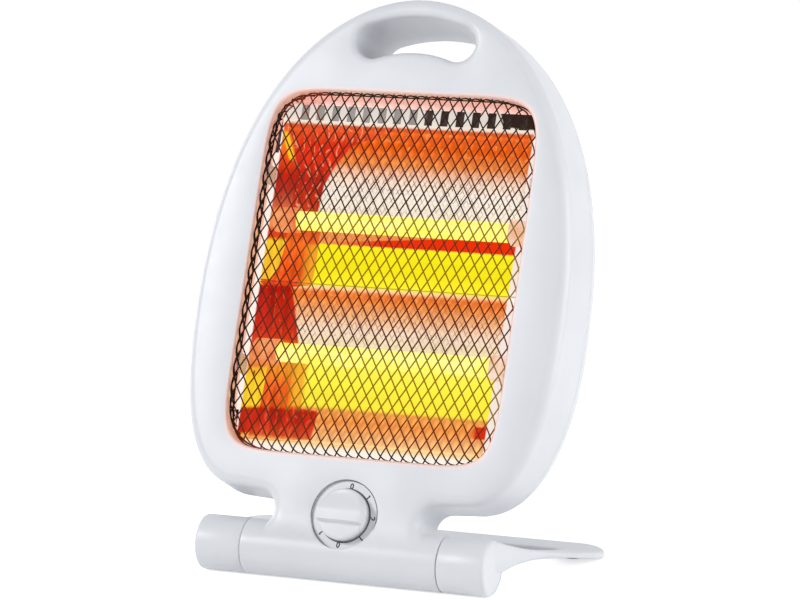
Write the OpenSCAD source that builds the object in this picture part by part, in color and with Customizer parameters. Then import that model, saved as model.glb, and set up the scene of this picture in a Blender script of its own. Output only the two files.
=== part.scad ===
// Folding two-tube quartz radiant heater with a carrying handle, a wire guard and a hinged stand.
// Panel axes: X to the right, Y into the casing from the hinge axis, Z up along the leaning casing.

/* [Casing] */
// Backward lean of the casing at rest, in degrees
lean = 21.5; // [5:0.5:30]
// Greatest width of the casing
casing_w = 246.8; // [230:0.1:280]
// Top of the casing above the hinge axis, along the lean
casing_top = 348.2; // [340:0.1:400]
// Height of the widest place above the hinge axis
widest_v = 148.5; // [130:0.1:165]
// How far sideways the crown curve keeps its level
crown_reach = 51; // [35:0.1:60]
// Height up to which the shoulders keep their width
shoulder_v = 298; // [280:0.1:310]
// Height down to which the flanks keep their width
flank_v = 90; // [75:0.1:100]
// Sideways reach of the level underside curve
hip_reach = 113.8; // [100:0.1:118]
// Where the hip curve ends, from the middle
hip_end = 73; // [66:0.5:80]
// Height of the underside above the hinge axis
notch_v = 31.4; // [28:0.1:40]
// Rise of the underside towards the hips
notch_rise = 1; // [0.5:0.1:3]
// Width of the neck between casing and barrel
neck_w = 100; // [90:0.5:110]
// Radius of the corner between neck and underside
neck_r = 9; // [5:0.5:11]
// Radius of the flare from the neck onto the barrel
flare_r = 10; // [8:0.5:12]
// Height of the flare's upper end above the hinge axis, at most
flare_v = 22; // [20:0.5:24]
// Front face in front of the hinge axis
face_d = 13.4; // [12:0.1:15]
// Back face behind the hinge axis
back_d = 44.5; // [42:0.5:60]
// Depth behind the hinge axis at which the back runs into the barrel
heel_d = 15.5; // [14:0.1:16]
// Height at which the sloping heel reaches the full depth
heel_top = 120; // [100:1:140]
// Roundness of the front edge
face_round = 7; // [3:0.5:8]
// Roundness of the rear edge
back_round = 10; // [8:0.5:18]
// How much the sides widen from the face to the parting line
side_flare = 1.6; // [0.5:0.1:2]
// Wall of both casing shells
wall = 2.4; // [2:0.1:3]
// Parting line behind the hinge axis
parting_d = 24; // [20:0.5:28]
// Height where the slanted parting line starts at the barrel
parting_low = 12; // [9:0.5:14]
// Height where the slanted parting line ends
parting_high = 44; // [40:0.5:60]

/* [Handle] */
// Height of the middle of the hand hole
hand_v = 323.1; // [318:0.1:326]
// Height of the hand hole, edge to edge
hand_h = 22.8; // [18:0.1:24]
// Radius of the curved middle line of the hand hole
hand_r = 84.6; // [70:0.1:110]
// Distance from the middle to the centre of a rounded end
hand_reach = 28; // [22:0.1:32]

/* [Window and guard] */
// Width of the window
window_w = 178; // [160:0.5:182]
// Height of the window
window_h = 227.3; // [210:0.1:232]
// Height of the window's middle above the hinge axis
window_v = 170.9; // [168:0.1:174]
// Squareness of the window's outline
window_square = 9; // [6:0.5:12]
// Depth of the window's inner wall, from the face
window_d = 14; // [12:0.5:16]
// Guard behind the front face
guard_recess = 2.4; // [1:0.1:5]
// Gap between the guard's rim and the window's wall
guard_gap = 0.8; // [0.5:0.1:2]
// Depth of the guard's rim
guard_rim = 12.6; // [8:0.1:12.6]
// Thickness of the guard's sheet
guard_t = 0.8; // [0.6:0.1:1.2]
// Width of a strand of the guard
strand = 1.2; // [0.8:0.1:1.6]
// Width of a mesh of the guard
mesh_w = 14.2; // [13.6:0.1:20]
// Height of a mesh of the guard
mesh_h = 23.2; // [22:0.1:32]
// Width of a guard clip
clip_w = 12; // [8:0.5:16]
// Height of a guard clip above or below the window's middle
clip_rise = 60; // [40:1:66]

/* [Reflectors and tubes] */
// Thickness of the reflector and end plate sheet
sheet = 0.8; // [0.5:0.1:1.2]
// Height of the ridge between the two troughs
ridge_v = 165.2; // [163:0.1:168]
// Height of one trough, lip to lip
trough_h = 99.8; // [94:0.1:101]
// Depth of a trough behind its lips
trough_d = 30; // [26:0.5:31]
// Squareness of the trough's section
trough_square = 2.6; // [2:0.1:4]
// Lip of the troughs behind the hinge axis
lip_y = 2; // [1.6:0.1:4]
// Height of the flat flange along the lower lip
low_flange = 9; // [6:0.5:10]
// Height of the slotted flange along the upper lip
top_flange = 17; // [12:0.5:18]
// Width of a slot in the upper flange
slot_w = 5.5; // [3:0.5:7]
// Height of a slot in the upper flange
slot_h = 10; // [6:0.5:12]
// Distance between the slots of the upper flange
slot_pitch = 10.4; // [9:0.1:14]
// Distance from a side of the window to the end plate inside it
end_inset = 3; // [2:0.5:8]
// Width of the end plates' front flange
end_flange = 14; // [13:0.5:15]
// Distance between the two tubes
tube_pitch = 84; // [78:0.5:90]
// Tubes behind the hinge axis
tube_y = 14; // [12:0.5:18]
// Outer diameter of a quartz tube
tube_dia = 12; // [10:0.5:13]
// Wall of a quartz tube
tube_wall = 1.2; // [1:0.1:1.5]
// Diameter of the wound heating element inside a tube
element_dia = 7; // [4:0.5:7.5]
// Diameter of a ceramic cap
cap_dia = 16; // [15:0.5:18]
// Length of a ceramic cap
cap_len = 21; // [20:0.5:24]
// Depth of the tube's seat in its cap
cap_seat = 12; // [8:0.5:14]
// Distance from the end plate's inside to the open end of a cap
cap_inside = 15; // [13:0.5:17]
// Width of a cap bracket's foot
bracket_w = 22; // [20:0.5:26]
// Diameter of a tube terminal's post
post_dia = 4; // [3:0.5:5]
// Length of a tube terminal's post
post_len = 8; // [5:0.5:9]

/* [Hinge and stand] */
// Diameter of the hinge barrel
barrel_dia = 34; // [32:0.5:36]
// Length of the casing's middle part of the barrel
barrel_mid = 128; // [124:0.5:132]
// Length of the whole barrel over both ends
barrel_len = 189.6; // [184:0.1:200]
// Gap between middle and end barrels
barrel_gap = 0.3; // [0.2:0.05:0.5]
// Wall of the end barrels
barrel_wall = 2.6; // [2:0.1:3.5]
// Thickness of the walls that close the barrels
barrel_end = 5; // [4:0.5:7]
// Diameter of the hinge spigots on the stand
spigot_dia = 14; // [12:0.5:16]
// Running clearance of a spigot in its bore, on the radius
spigot_clear = 0.06; // [0.03:0.01:0.1]
// Diameter of the hinge screws
hinge_screw_dia = 5; // [4:0.5:6]
// Diameter of the spring washers
washer_dia = 20; // [18:0.5:24]
// Thickness of the spring washers
washer_t = 1.6; // [1:0.1:2.5]
// What the stand's loop stands out past the casing on each side
stand_over = 0.6; // [0.2:0.1:6]
// Rear edge of the stand behind the hinge axis
stand_d = 131; // [126:0.5:150]
// Width of the stand's arms
arm_w = 24; // [18:0.5:28]
// Width of the stand's rear rail
rail_w = 26; // [22:0.5:32]
// Thickness of the stand's rear rail
rail_t = 8.5; // [7:0.5:10]
// Corner radius at the back of the stand
stand_corner = 22; // [14:0.5:26]
// Roundness of the outer ends of the barrel
barrel_round = 2.5; // [1:0.5:4]
// Thickness of the end covers' rim disc
cover_t = 2; // [1.5:0.1:3]
// Diameter of a foot pad
pad_dia = 14; // [10:0.5:18]
// Thickness of a foot pad
pad_t = 2.4; // [1.6:0.1:3]
// How far a foot pad stands out
pad_proud = 0.4; // [0.2:0.1:0.8]

/* [Dial and switch] */
// Height of the dial's middle above the hinge axis
dial_v = 21.9; // [21:0.1:24]
// Outer diameter of the dial's recess
dial_dia = 42.6; // [40:0.1:44]
// Depth of the recess from the face
dial_d = 2.4; // [2:0.1:3]
// Thickness of the dial ring
dial_ring_t = 0.9; // [0.6:0.1:1.4]
// Diameter of the knob
knob_dia = 31.5; // [28:0.1:34]
// Thickness of the knob's disc
knob_disc = 6; // [4:0.1:8]
// Height of the grip bar on the disc
grip_h = 6; // [4:0.1:8]
// Width of the grip bar
grip_w = 10; // [7:0.1:12]
// Running gap between the knob and the dial ring
knob_gap = 0.5; // [0.3:0.1:1]
// Diameter of the switch spindle
spindle_dia = 6; // [5:0.1:7]
// Running clearance of the spindle in its bush, on the radius
spindle_clear = 0.05; // [0.02:0.01:0.1]
// Diameter of the switch bush
bush_dia = 10; // [9:0.1:12]
// Width of the square switch body
switch_w = 26; // [22:0.5:27]
// Depth of the switch body
switch_d = 15; // [12:0.5:17]

/* [Tip-over switch] */
// Height of the swinging weight's pin above the hinge axis
tip_v = 47; // [45:0.5:50]
// Sideways place of the swinging weight
tip_x = 32; // [30:0.5:34]
// Length of the swinging arm, pin to weight
tip_arm = 15; // [12:0.5:16]
// Diameter of the weight
tip_weight_dia = 8; // [6:0.5:9]
// Length of the weight
tip_weight_len = 8; // [6:0.5:9]
// Diameter of the pin
tip_pin_dia = 3; // [2.5:0.1:4]
// Running clearance of the arm on its pin, on the radius
tip_clear = 0.08; // [0.03:0.01:0.1]
// Inside width between the frame's cheeks
tip_bay = 11; // [10.5:0.5:13]

/* [Fasteners, inlet and leads] */
// Diameter of the case and reflector screws
screw_dia = 3; // [2.5:0.1:3.5]
// Diameter of the screw heads
head_dia = 6; // [5.5:0.1:6.5]
// Height of the screw heads
head_h = 2; // [1.5:0.1:2.5]
// Diameter of the screw posts
screw_post_dia = 9; // [8:0.5:10]
// Top case screws, from the middle
case_top_x = 52; // [46:1:56]
// Top case screws, below the casing's top
case_top_drop = 50; // [46:1:54]
// Side case screws, outside the end plates' flanges
case_side_gap = 5.2; // [5:0.1:7]
// Bottom case screws, from the middle
case_low_x = 86; // [82:1:90]
// Bottom case screws, above the notch
case_low_rise = 15; // [13:1:18]
// Bore of the cable bushing
inlet_dia = 8.4; // [7:0.1:9]
// Wall of the cable bushing
inlet_wall = 2; // [1.5:0.1:2.5]
// Height of the inlet above the hinge axis
inlet_v = 72; // [66:0.5:78]
// Sideways place of the inlet
inlet_x = -58; // [-64:0.5:-50]
// Diameter of an internal lead
lead_dia = 2.6; // [2:0.1:3]
// Diameter of the thermal cut-out
cutout_dia = 16; // [12:0.5:18]
// Height of the thermal cut-out
cutout_h = 5; // [3:0.5:5.5]

/* [Hidden] */

shell_white = "whitesmoke";
ceramic_white = "ivory";
steel = "silver";
eps = 0.01;
far = 400;
hair = 0.05;
smooth = 96;
medium = 48;
small = 32;
half_w = casing_w / 2;
stand_w = casing_w + 2 * stand_over;
barrel_r = barrel_dia / 2;
mid_half = barrel_mid / 2;
end_half = barrel_len / 2;
face_y = -face_d;

// Casing outline: the crown and hip are cubic curves, the neck corner is an arc.
function cubic(p, t) = pow(1 - t, 3) * p[0] + 3 * pow(1 - t, 2) * t * p[1]
    + 3 * (1 - t) * t * t * p[2] + pow(t, 3) * p[3];
crown = [[0, casing_top], [crown_reach, casing_top], [half_w, shoulder_v], [half_w, widest_v]];
hip = [[half_w, widest_v], [half_w, flank_v], [hip_reach, notch_v + notch_rise],
    [hip_end, notch_v + notch_rise]];
crown_steps = 16;
hip_steps = 12;
corner_steps = 4;
neck_half = neck_w / 2;
flare_top = min(flare_v, notch_v - neck_r);
outline = concat(
    [for (i = [0 : crown_steps - 1]) cubic(crown, (i + 0.5) / crown_steps)],
    [for (i = [0 : hip_steps]) cubic(hip, i / hip_steps)],
    [for (i = [0 : corner_steps]) [neck_half + neck_r, notch_v - neck_r]
        + neck_r * [cos(90 + 90 * i / corner_steps), sin(90 + 90 * i / corner_steps)]],
    [for (i = [0 : corner_steps]) [neck_half + flare_r, flare_top]
        + flare_r * [cos(180 + 90 * i / corner_steps), sin(180 + 90 * i / corner_steps)]]);
side_n = len(outline);
function before(i) = i == 0 ? [-outline[0][0], outline[0][1]] : outline[i - 1];
function after(i) = i == side_n - 1 ? outline[i] + [1, 0] : outline[i + 1];
function inward(i) = let (d = after(i) - before(i)) [d[1], -d[0]] / norm(d);

// The back slopes forward towards the barrel.
heel_curve = 1.6;
function back_y(v) = back_d - (back_d - heel_d) * pow(max(0, 1 - v / heel_top), heel_curve);
// A ring is [inset, offset from the face, share of the depth].
function ring_side(r) = [for (i = [0 : side_n - 1])
    let (p = outline[i] + r[0] * inward(i))
    [p[0], face_y + r[1] + r[2] * (back_y(p[1]) - face_y), p[1]]];
function ring_points(r) = let (s = ring_side(r))
    concat(s, [for (i = [side_n - 1 : -1 : 0]) [-s[i][0], s[i][1], s[i][2]]]);
widest_share = 0.67;
outer_rings = concat(
    [for (a = [0 : 22.5 : 90]) [side_flare + face_round * (1 - sin(a)), face_round * (1 - cos(a)), 0]],
    [[0, 0, widest_share]],
    [for (a = [22.5 : 22.5 : 90])
        [back_round * (1 - cos(a)), 0, widest_share + (1 - widest_share) * sin(a)]]);
inner_round = max(0.5, face_round - wall);
inner_rings = concat(
    [for (a = [0 : 45 : 90])
        [side_flare + wall + inner_round * (1 - sin(a)), wall + inner_round * (1 - cos(a)), 0]],
    [[wall, 0, widest_share]],
    [for (a = [45 : 45 : 90])
        [back_round * (1 - cos(a)) + wall * cos(a), -wall * sin(a),
            widest_share + (1 - widest_share) * sin(a)]]);

// Where the casing's back reaches furthest, which centres the part over the origin.
rear_reach = max([for (r = outer_rings) for (p = ring_side(r)) p[2] * sin(lean) + p[1] * cos(lean)]);
axis_z = barrel_r;
centre_y = (rear_reach - barrel_r) / 2;

window_half = window_w / 2;
window_back = face_y + window_d;
guard_y = face_y + guard_recess;
hand_centre = hand_v - hand_r;
hand_angle = asin(hand_reach / hand_r);
end_x = window_half - end_inset;
tube_v = [ridge_v + tube_pitch / 2, ridge_v - tube_pitch / 2];
cap_open_x = end_x - cap_inside;
cap_out_x = cap_open_x + cap_len;
tube_end_x = cap_open_x + cap_seat;
fit_gap = 0.2;
seat_gap = 0.3;
flange_post_dia = 8;
flange_x = end_x + sheet + end_flange / 2;
flange_screws = [ridge_v - 0.75 * trough_h, ridge_v, ridge_v + 0.75 * trough_h];
case_points = [[case_top_x, casing_top - case_top_drop],
    [end_x + sheet + end_flange + case_side_gap, ridge_v], [case_low_x, notch_v + case_low_rise]];
pilot_depth = 14;
screw_sink = 8;
switch_y = face_y + dial_d + wall;
block_size = [22, 9, 12];
block_place = [-34, face_y + wall + seat_gap, 39];

// Axes of the panel, and axes level with the floor, both with their origin on the hinge axis.
module level() {
    translate([0, -centre_y, axis_z]) children();
}
module panel() {
    level() rotate([-lean, 0, 0]) children();
}
module through(y0, y1) {
    translate([0, y1, 0]) rotate([90, 0, 0]) linear_extrude(y1 - y0) children();
}
module across(x0, x1) {
    translate([x0, 0, 0]) rotate([90, 0, 90]) linear_extrude(x1 - x0) children();
}
module rod_y(d, y0, y1, fn = medium) {
    translate([0, y1, 0]) rotate([90, 0, 0]) cylinder(d = d, h = y1 - y0, $fn = fn);
}
module rod_x(d, x0, x1, fn = medium) {
    translate([x0, 0, 0]) rotate([0, 90, 0]) cylinder(d = d, h = x1 - x0, $fn = fn);
}
module at_v(v) {
    translate([0, 0, v]) children();
}
module both_sides() {
    children();
    mirror([1, 0, 0]) children();
}
module slab(low, high) {
    translate(low) cube(high - low);
}

// A closed solid through rings that all follow the casing's outline.
module loft(rings) {
    n = 2 * side_n;
    last = (len(rings) - 1) * n;
    points = [for (r = rings) each ring_points(r)];
    walls = [for (j = [0 : len(rings) - 2]) for (i = [0 : n - 1])
        let (k = (i + 1) % n, a = j * n + i, b = j * n + k, c = b + n, d = a + n)
        each [[a, d, c], [a, c, b]]];
    caps = [for (i = [0 : side_n - 2]) let (k = n - 1 - i)
        each [[i, i + 1, k - 1, k], [last + k, last + k - 1, last + i + 1, last + i]]];
    polyhedron(points, concat(walls, caps), convexity = 8);
}
module hand_outline(extra) {
    r = hand_h / 2 + extra;
    steps = 10;
    at = [for (s = [-1, 1]) [s * hand_r * sin(hand_angle), hand_centre + hand_r * cos(hand_angle)]];
    polygon(concat(
        [for (i = [-steps : steps]) let (a = hand_angle * i / steps)
            [(hand_r + r) * sin(a), hand_centre + (hand_r + r) * cos(a)]],
        [for (i = [1 : steps - 1]) let (a = 90 - hand_angle - 180 * i / steps)
            at[1] + r * [cos(a), sin(a)]],
        [for (i = [steps : -1 : -steps]) let (a = hand_angle * i / steps)
            [(hand_r - r) * sin(a), hand_centre + (hand_r - r) * cos(a)]],
        [for (i = [1 : steps - 1]) let (a = 270 + hand_angle - 180 * i / steps)
            at[0] + r * [cos(a), sin(a)]]));
}
function power_cos(a) = sign(cos(a)) * pow(abs(cos(a)), 2 / window_square);
function power_sin(a) = sign(sin(a)) * pow(abs(sin(a)), 2 / window_square);
// The window's outline is a superellipse, so its sides bulge a little and its corners are round.
module window_outline(extra) {
    steps = 24;
    polygon([for (q = [0 : 3]) for (i = [0 : steps - 1])
        let (s = i / steps, a = 90 * q + 90 * (s * s * (3 - 2 * s)))
        [(window_half + extra) * power_cos(a), window_v + (window_h / 2 + extra) * power_sin(a)]]);
}

module casing_solid() {
    loft(outer_rings);
    rod_x(barrel_dia, -mid_half, mid_half, smooth);
}
module casing_cavity() {
    difference() {
        union() {
            loft(inner_rings);
            rod_x(barrel_dia - 2 * wall, -mid_half + barrel_end, mid_half - barrel_end, smooth);
        }
        through(-far, far) hand_outline(wall);
        both_sides() for (p = case_points) translate([p[0], 0, p[1]]) rod_y(screw_post_dia, -far, far);
        at_v(dial_v) rod_y(dial_dia + 2 * wall, -far, switch_y - fit_gap);
        rod_x(spigot_dia + 2 * wall, -mid_half, -mid_half + barrel_end + eps);
        rod_x(spigot_dia + 2 * wall, mid_half - barrel_end - eps, mid_half);
        translate([inlet_x, 0, inlet_v]) rod_y(inlet_flange_dia, inlet_pad_front, far);
        children();
    }
}
pad_margin = 4;
pad_depth = 4;
inlet_flange_dia = inlet_dia + 4 * inlet_wall + pad_margin;
inlet_pad_front = back_y(inlet_v) - pad_depth;
module casing_openings() {
    through(-far, far) hand_outline(0);
    rod_x(spigot_dia + 2 * spigot_clear, -far, far, smooth);
}
// Side view of the space in front of the parting line, and its counterpart behind.
module parting_front() {
    across(-far, far) polygon([[-far, -far], [0, -far], [0, parting_low],
        [parting_d, parting_high], [parting_d, far], [-far, far]]);
}
module parting_rear() {
    across(-far, far) polygon([[far, -far], [0, -far], [0, parting_low],
        [parting_d, parting_high], [parting_d, far], [far, far]]);
}

module front_cover() {
    color(shell_white) panel() intersection() {
        parting_front();
        difference() {
            casing_solid();
            casing_cavity() {
                through(-far, window_back) window_outline(wall);
                both_sides() for (v = flange_screws)
                    translate([flange_x, 0, v]) rod_y(flange_post_dia, -far, lip_y - hair);
            }
            casing_openings();
            through(-far, window_back + eps) window_outline(0);
            at_v(dial_v) rod_y(dial_dia, -far, face_y + dial_d);
            at_v(dial_v) rod_y(bush_dia + 2 * fit_gap, -far, 0);
            at_v(dial_v) both_sides() translate([switch_screw_x, 0, 0])
                rod_y(switch_screw_dia, -far, 0, small);
            both_sides() for (p = case_points)
                translate([p[0], 0, p[1]]) rod_y(screw_dia, parting_d - pilot_depth, far, small);
            both_sides() for (v = flange_screws)
                translate([flange_x, 0, v]) rod_y(screw_dia, face_y + 2 * wall, far, small);
        }
    }
}

vent_rows = 11;
vent_pitch = 7;
vent_h = 3;
vent_bottom = 176;
low_vent_rows = 6;
low_vent_bottom = 92;
vent_half = 62;
low_vent_half = 48;
module vents(bottom, rows, half) {
    for (i = [0 : rows - 1]) through(parting_d + wall, far)
        translate([-half, bottom + i * vent_pitch]) square([2 * half, vent_h]);
}
module rear_cover() {
    color(shell_white) panel() difference() {
        intersection() {
            parting_rear();
            difference() {
                union() {
                    casing_solid();
                    translate([inlet_x, 0, inlet_v])
                        rod_y(inlet_flange_dia, inlet_pad_front, inlet_back);
                }
                casing_cavity();
                casing_openings();
            }
        }
        vents(vent_bottom, vent_rows, vent_half);
        vents(low_vent_bottom, low_vent_rows, low_vent_half);
        translate([inlet_x, 0, inlet_v]) rod_y(inlet_dia + 2 * inlet_wall + 2 * fit_gap, 0, far);
        both_sides() for (p = case_points) translate([p[0], 0, p[1]]) {
            rod_y(screw_dia + 2 * fit_gap, 0, far, small);
            rod_y(head_dia + 2 * fit_gap, screw_seat(p), far);
        }
    }
}
function screw_seat(p) = max(back_y(p[1]) - screw_sink, parting_d + wall);
module case_screws() {
    color(steel) panel() both_sides() for (p = case_points) translate([p[0], 0, p[1]]) {
        rod_y(head_dia, screw_seat(p), screw_seat(p) + head_h, small);
        rod_y(screw_dia - 2 * hair, parting_d - pilot_depth + seat_gap, screw_seat(p), small);
    }
}

// Diamonds between the strands of the guard, in two staggered lattices, inside a plain border.
guard_border = 1.4;
strand_share = 0.6;
module guard_holes(extra) {
    cols = floor((window_half - guard_gap) / mesh_w) + 1;
    rows = floor(window_h / 2 / mesh_h) + 1;
    half_hole = [mesh_w / 2 - strand * strand_share, mesh_h / 2 - strand];
    intersection() {
        window_outline(-guard_gap - extra);
        for (i = [-cols : cols]) for (j = [-rows : rows]) for (s = [0, 0.5])
            translate([(i + s) * mesh_w, window_v + (j + s) * mesh_h])
                polygon([[half_hole[0], 0], [0, half_hole[1]], [-half_hole[0], 0], [0, -half_hole[1]]]);
    }
}
module guard_mesh() {
    color([0.12, 0.11, 0.11]) panel() {
        through(guard_y, guard_y + guard_t) difference() {
            window_outline(-guard_gap);
            guard_holes(guard_border);
        }
        through(guard_y + guard_t - eps, guard_y + guard_rim) difference() {
            window_outline(-guard_gap);
            window_outline(-guard_gap - guard_t);
        }
    }
}
clip_reach = 10;
// Angle clips: each one holds the guard's rim from inside and stands on an end plate's flange.
module guard_clips() {
    color(steel) panel() both_sides() for (v = [window_v - clip_rise, window_v + clip_rise]) {
        inner = window_half - guard_gap - guard_t - fit_gap;
        slab([inner - sheet, lip_y - clip_reach, v - clip_w / 2], [inner, lip_y - hair, v + clip_w / 2]);
        slab([end_x + hair, lip_y - hair - sheet, v - clip_w / 2],
            [inner, lip_y - hair, v + clip_w / 2]);
    }
}

// Trough section: a superellipse, carried along the tubes, with a flat flange at the outer lip.
function trough_point(a, depth, half) = [
    lip_y + depth * pow(abs(sin(a)), 2 / trough_square),
    -sign(cos(a)) * half * pow(abs(cos(a)), 2 / trough_square)];
module trough(up) {
    steps = 22;
    half = trough_h / 2 - fit_gap;
    mid = ridge_v + up * trough_h / 2;
    flange = up > 0 ? top_flange : low_flange;
    flange_low = up > 0 ? mid + half - sheet : mid - half - flange;
    across(-end_x + hair, end_x - hair) {
        polygon(concat(
            [for (i = [0 : steps]) [0, mid] + trough_point(180 * i / steps, trough_d, half)],
            [for (i = [steps : -1 : 0])
                [0, mid] + trough_point(180 * i / steps, trough_d - sheet, half - sheet)]));
        translate([lip_y, flange_low]) square([sheet, flange + sheet]);
    }
}
module upper_reflector() {
    count = floor((end_x - slot_w) / slot_pitch);
    color([0.86, 0.87, 0.88]) panel() difference() {
        trough(1);
        for (i = [-count : count]) through(lip_y - 1, lip_y + sheet + 1)
            translate([i * slot_pitch - slot_w / 2, ridge_v + trough_h + slot_rise])
                square([slot_w, slot_h]);
    }
}
slot_rise = 4;
module lower_reflector() {
    color([0.86, 0.87, 0.88]) panel() trough(-1);
}
// The end plates' corners are cut off where the casing's back slopes and rounds.
module end_plate() {
    low = ridge_v - trough_h - plate_rim;
    high = ridge_v + trough_h + plate_rim;
    deep = lip_y + trough_d + plate_over;
    screws = flange_screws[2] - flange_screws[0] + 2 * plate_rim;
    difference() {
        union() {
            across(end_x, end_x + sheet) polygon([[lip_y, low], [lip_y + plate_rim, low],
                [deep, low + deep - plate_rim], [deep, high - deep + plate_rim],
                [lip_y + plate_rim, high], [lip_y, high]]);
            slab([end_x, lip_y, ridge_v - screws / 2],
                [end_x + sheet + end_flange, lip_y + sheet, ridge_v + screws / 2]);
        }
        for (v = tube_v) translate([0, tube_y, v]) rod_x(cap_dia + 2 * hair, 0, far);
        for (v = tube_v) for (s = [-1, 1])
            translate([0, tube_y, v + s * bracket_screw]) rod_x(screw_dia, 0, far, small);
        for (v = flange_screws) translate([flange_x, 0, v]) rod_y(screw_dia + fit_gap, 0, far, small);
    }
}
bracket_screw = 14;
bracket_edge = 4;
plate_rim = 7;
plate_over = 1;
module left_end_plate() {
    color([0.8, 0.8, 0.81]) panel() mirror([1, 0, 0]) end_plate();
}
module right_end_plate() {
    color([0.8, 0.8, 0.81]) panel() end_plate();
}
flange_bite = 8;
module reflector_screws() {
    color(steel) panel() both_sides() for (v = flange_screws) translate([flange_x, 0, v]) {
        rod_y(head_dia, lip_y + sheet, lip_y + sheet + head_h, small);
        rod_y(screw_dia - 2 * hair, lip_y - flange_bite, lip_y + sheet, small);
    }
}

module quartz_tube(v) {
    panel() translate([0, tube_y, v]) difference() {
        rod_x(tube_dia, -tube_end_x, tube_end_x, smooth);
        rod_x(tube_dia - 2 * tube_wall, -far, far, smooth);
    }
}
module upper_tube() {
    color("gold") quartz_tube(tube_v[0]);
}
module lower_tube() {
    color("gold") quartz_tube(tube_v[1]);
}
// The wound wire shows only as a glow through the tube, so its outer shape stands for it.
module element(v) {
    coil_x = tube_end_x - leg_len;
    panel() translate([0, tube_y, v]) {
        rod_x(element_dia, -coil_x, coil_x, small);
        rod_x(post_dia / 2, -tube_end_x, tube_end_x, small);
    }
}
leg_len = 3;
module upper_element() {
    color("orangered") element(tube_v[0]);
}
module lower_element() {
    color("orangered") element(tube_v[1]);
}
module ceramic_cap(side, v) {
    color(ceramic_white) panel() mirror([side < 0 ? 1 : 0, 0, 0]) translate([0, tube_y, v])
        difference() {
            rod_x(cap_dia, cap_open_x, cap_out_x, smooth);
            rod_x(tube_dia + 2 * hair, cap_open_x - 1, tube_end_x + hair, smooth);
            rod_x(post_dia, 0, far, small);
        }
}
module upper_left_cap() {
    ceramic_cap(-1, tube_v[0]);
}
module upper_right_cap() {
    ceramic_cap(1, tube_v[0]);
}
module lower_left_cap() {
    ceramic_cap(-1, tube_v[1]);
}
module lower_right_cap() {
    ceramic_cap(1, tube_v[1]);
}
// Spring bracket: a flat foot on the end plate, with a collar round the cap.
module cap_bracket(side, v) {
    foot_x = end_x + sheet;
    foot_half = bracket_screw + bracket_edge;
    color(steel) panel() mirror([side < 0 ? 1 : 0, 0, 0]) translate([0, tube_y, v]) difference() {
        union() {
            slab([foot_x, -bracket_w / 2, -foot_half], [foot_x + sheet, bracket_w / 2, foot_half]);
            rod_x(cap_dia + 2 * hair + 2 * sheet, foot_x, cap_out_x - 1, smooth);
        }
        rod_x(cap_dia + 2 * hair, 0, far, smooth);
        for (s = [-1, 1]) at_v(s * bracket_screw) rod_x(screw_dia, 0, far, small);
    }
}
module upper_left_bracket() {
    cap_bracket(-1, tube_v[0]);
}
module upper_right_bracket() {
    cap_bracket(1, tube_v[0]);
}
module lower_left_bracket() {
    cap_bracket(-1, tube_v[1]);
}
module lower_right_bracket() {
    cap_bracket(1, tube_v[1]);
}
module bracket_screws() {
    foot_x = end_x + 2 * sheet;
    color(steel) panel() both_sides() for (v = tube_v) for (s = [-1, 1])
        translate([0, tube_y, v + s * bracket_screw]) {
            rod_x(head_dia, foot_x, foot_x + head_h, small);
            rod_x(screw_dia - 2 * hair, end_x, foot_x, small);
        }
}
post_nut_dia = 7;
post_nut_t = 2.4;
module tube_terminals() {
    color(steel) panel() both_sides() for (v = tube_v) translate([0, tube_y, v]) {
        rod_x(post_dia - 2 * hair, tube_end_x + hair, cap_out_x + post_len, small);
        rod_x(post_nut_dia, cap_out_x + hair, cap_out_x + post_nut_t, 6);
    }
}

module dial_ring() {
    floor_y = face_y + dial_d;
    color("white") panel() at_v(dial_v) difference() {
        rod_y(dial_dia - 2 * fit_gap, floor_y - dial_ring_t, floor_y, smooth);
        rod_y(bush_dia + 2 * fit_gap, -far, far);
    }
}
knob_back = face_y + dial_d - dial_ring_t - knob_gap;
knob_edge = 1;
knob_face = knob_back - knob_disc;
spindle_top = knob_face - grip_h + 3;
flat_rise = spindle_dia / 2 - 1;
spindle_tail = switch_y + switch_d - 2;
module knob() {
    color("white") panel() at_v(dial_v) difference() {
        union() {
            rod_y(knob_dia, knob_face + knob_edge, knob_back, smooth);
            rod_y(knob_dia - 2 * knob_edge, knob_face, knob_back, smooth);
            intersection() {
                rod_y(knob_dia - 2 * knob_edge, knob_face - grip_h, knob_back, smooth);
                slab([-far, -far, -grip_w / 2], [far, far, grip_w / 2]);
            }
        }
        rod_y(spindle_dia + 2 * hair, spindle_top, far);
        rod_y(spindle_dia + 2 * wall, knob_back - wall, far);
    }
}
module knob_spindle() {
    color(steel) panel() at_v(dial_v) difference() {
        rod_y(spindle_dia, spindle_top + hair, spindle_tail, smooth);
        slab([-far, -far, flat_rise], [far, knob_back - wall, far]);
    }
}
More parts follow.
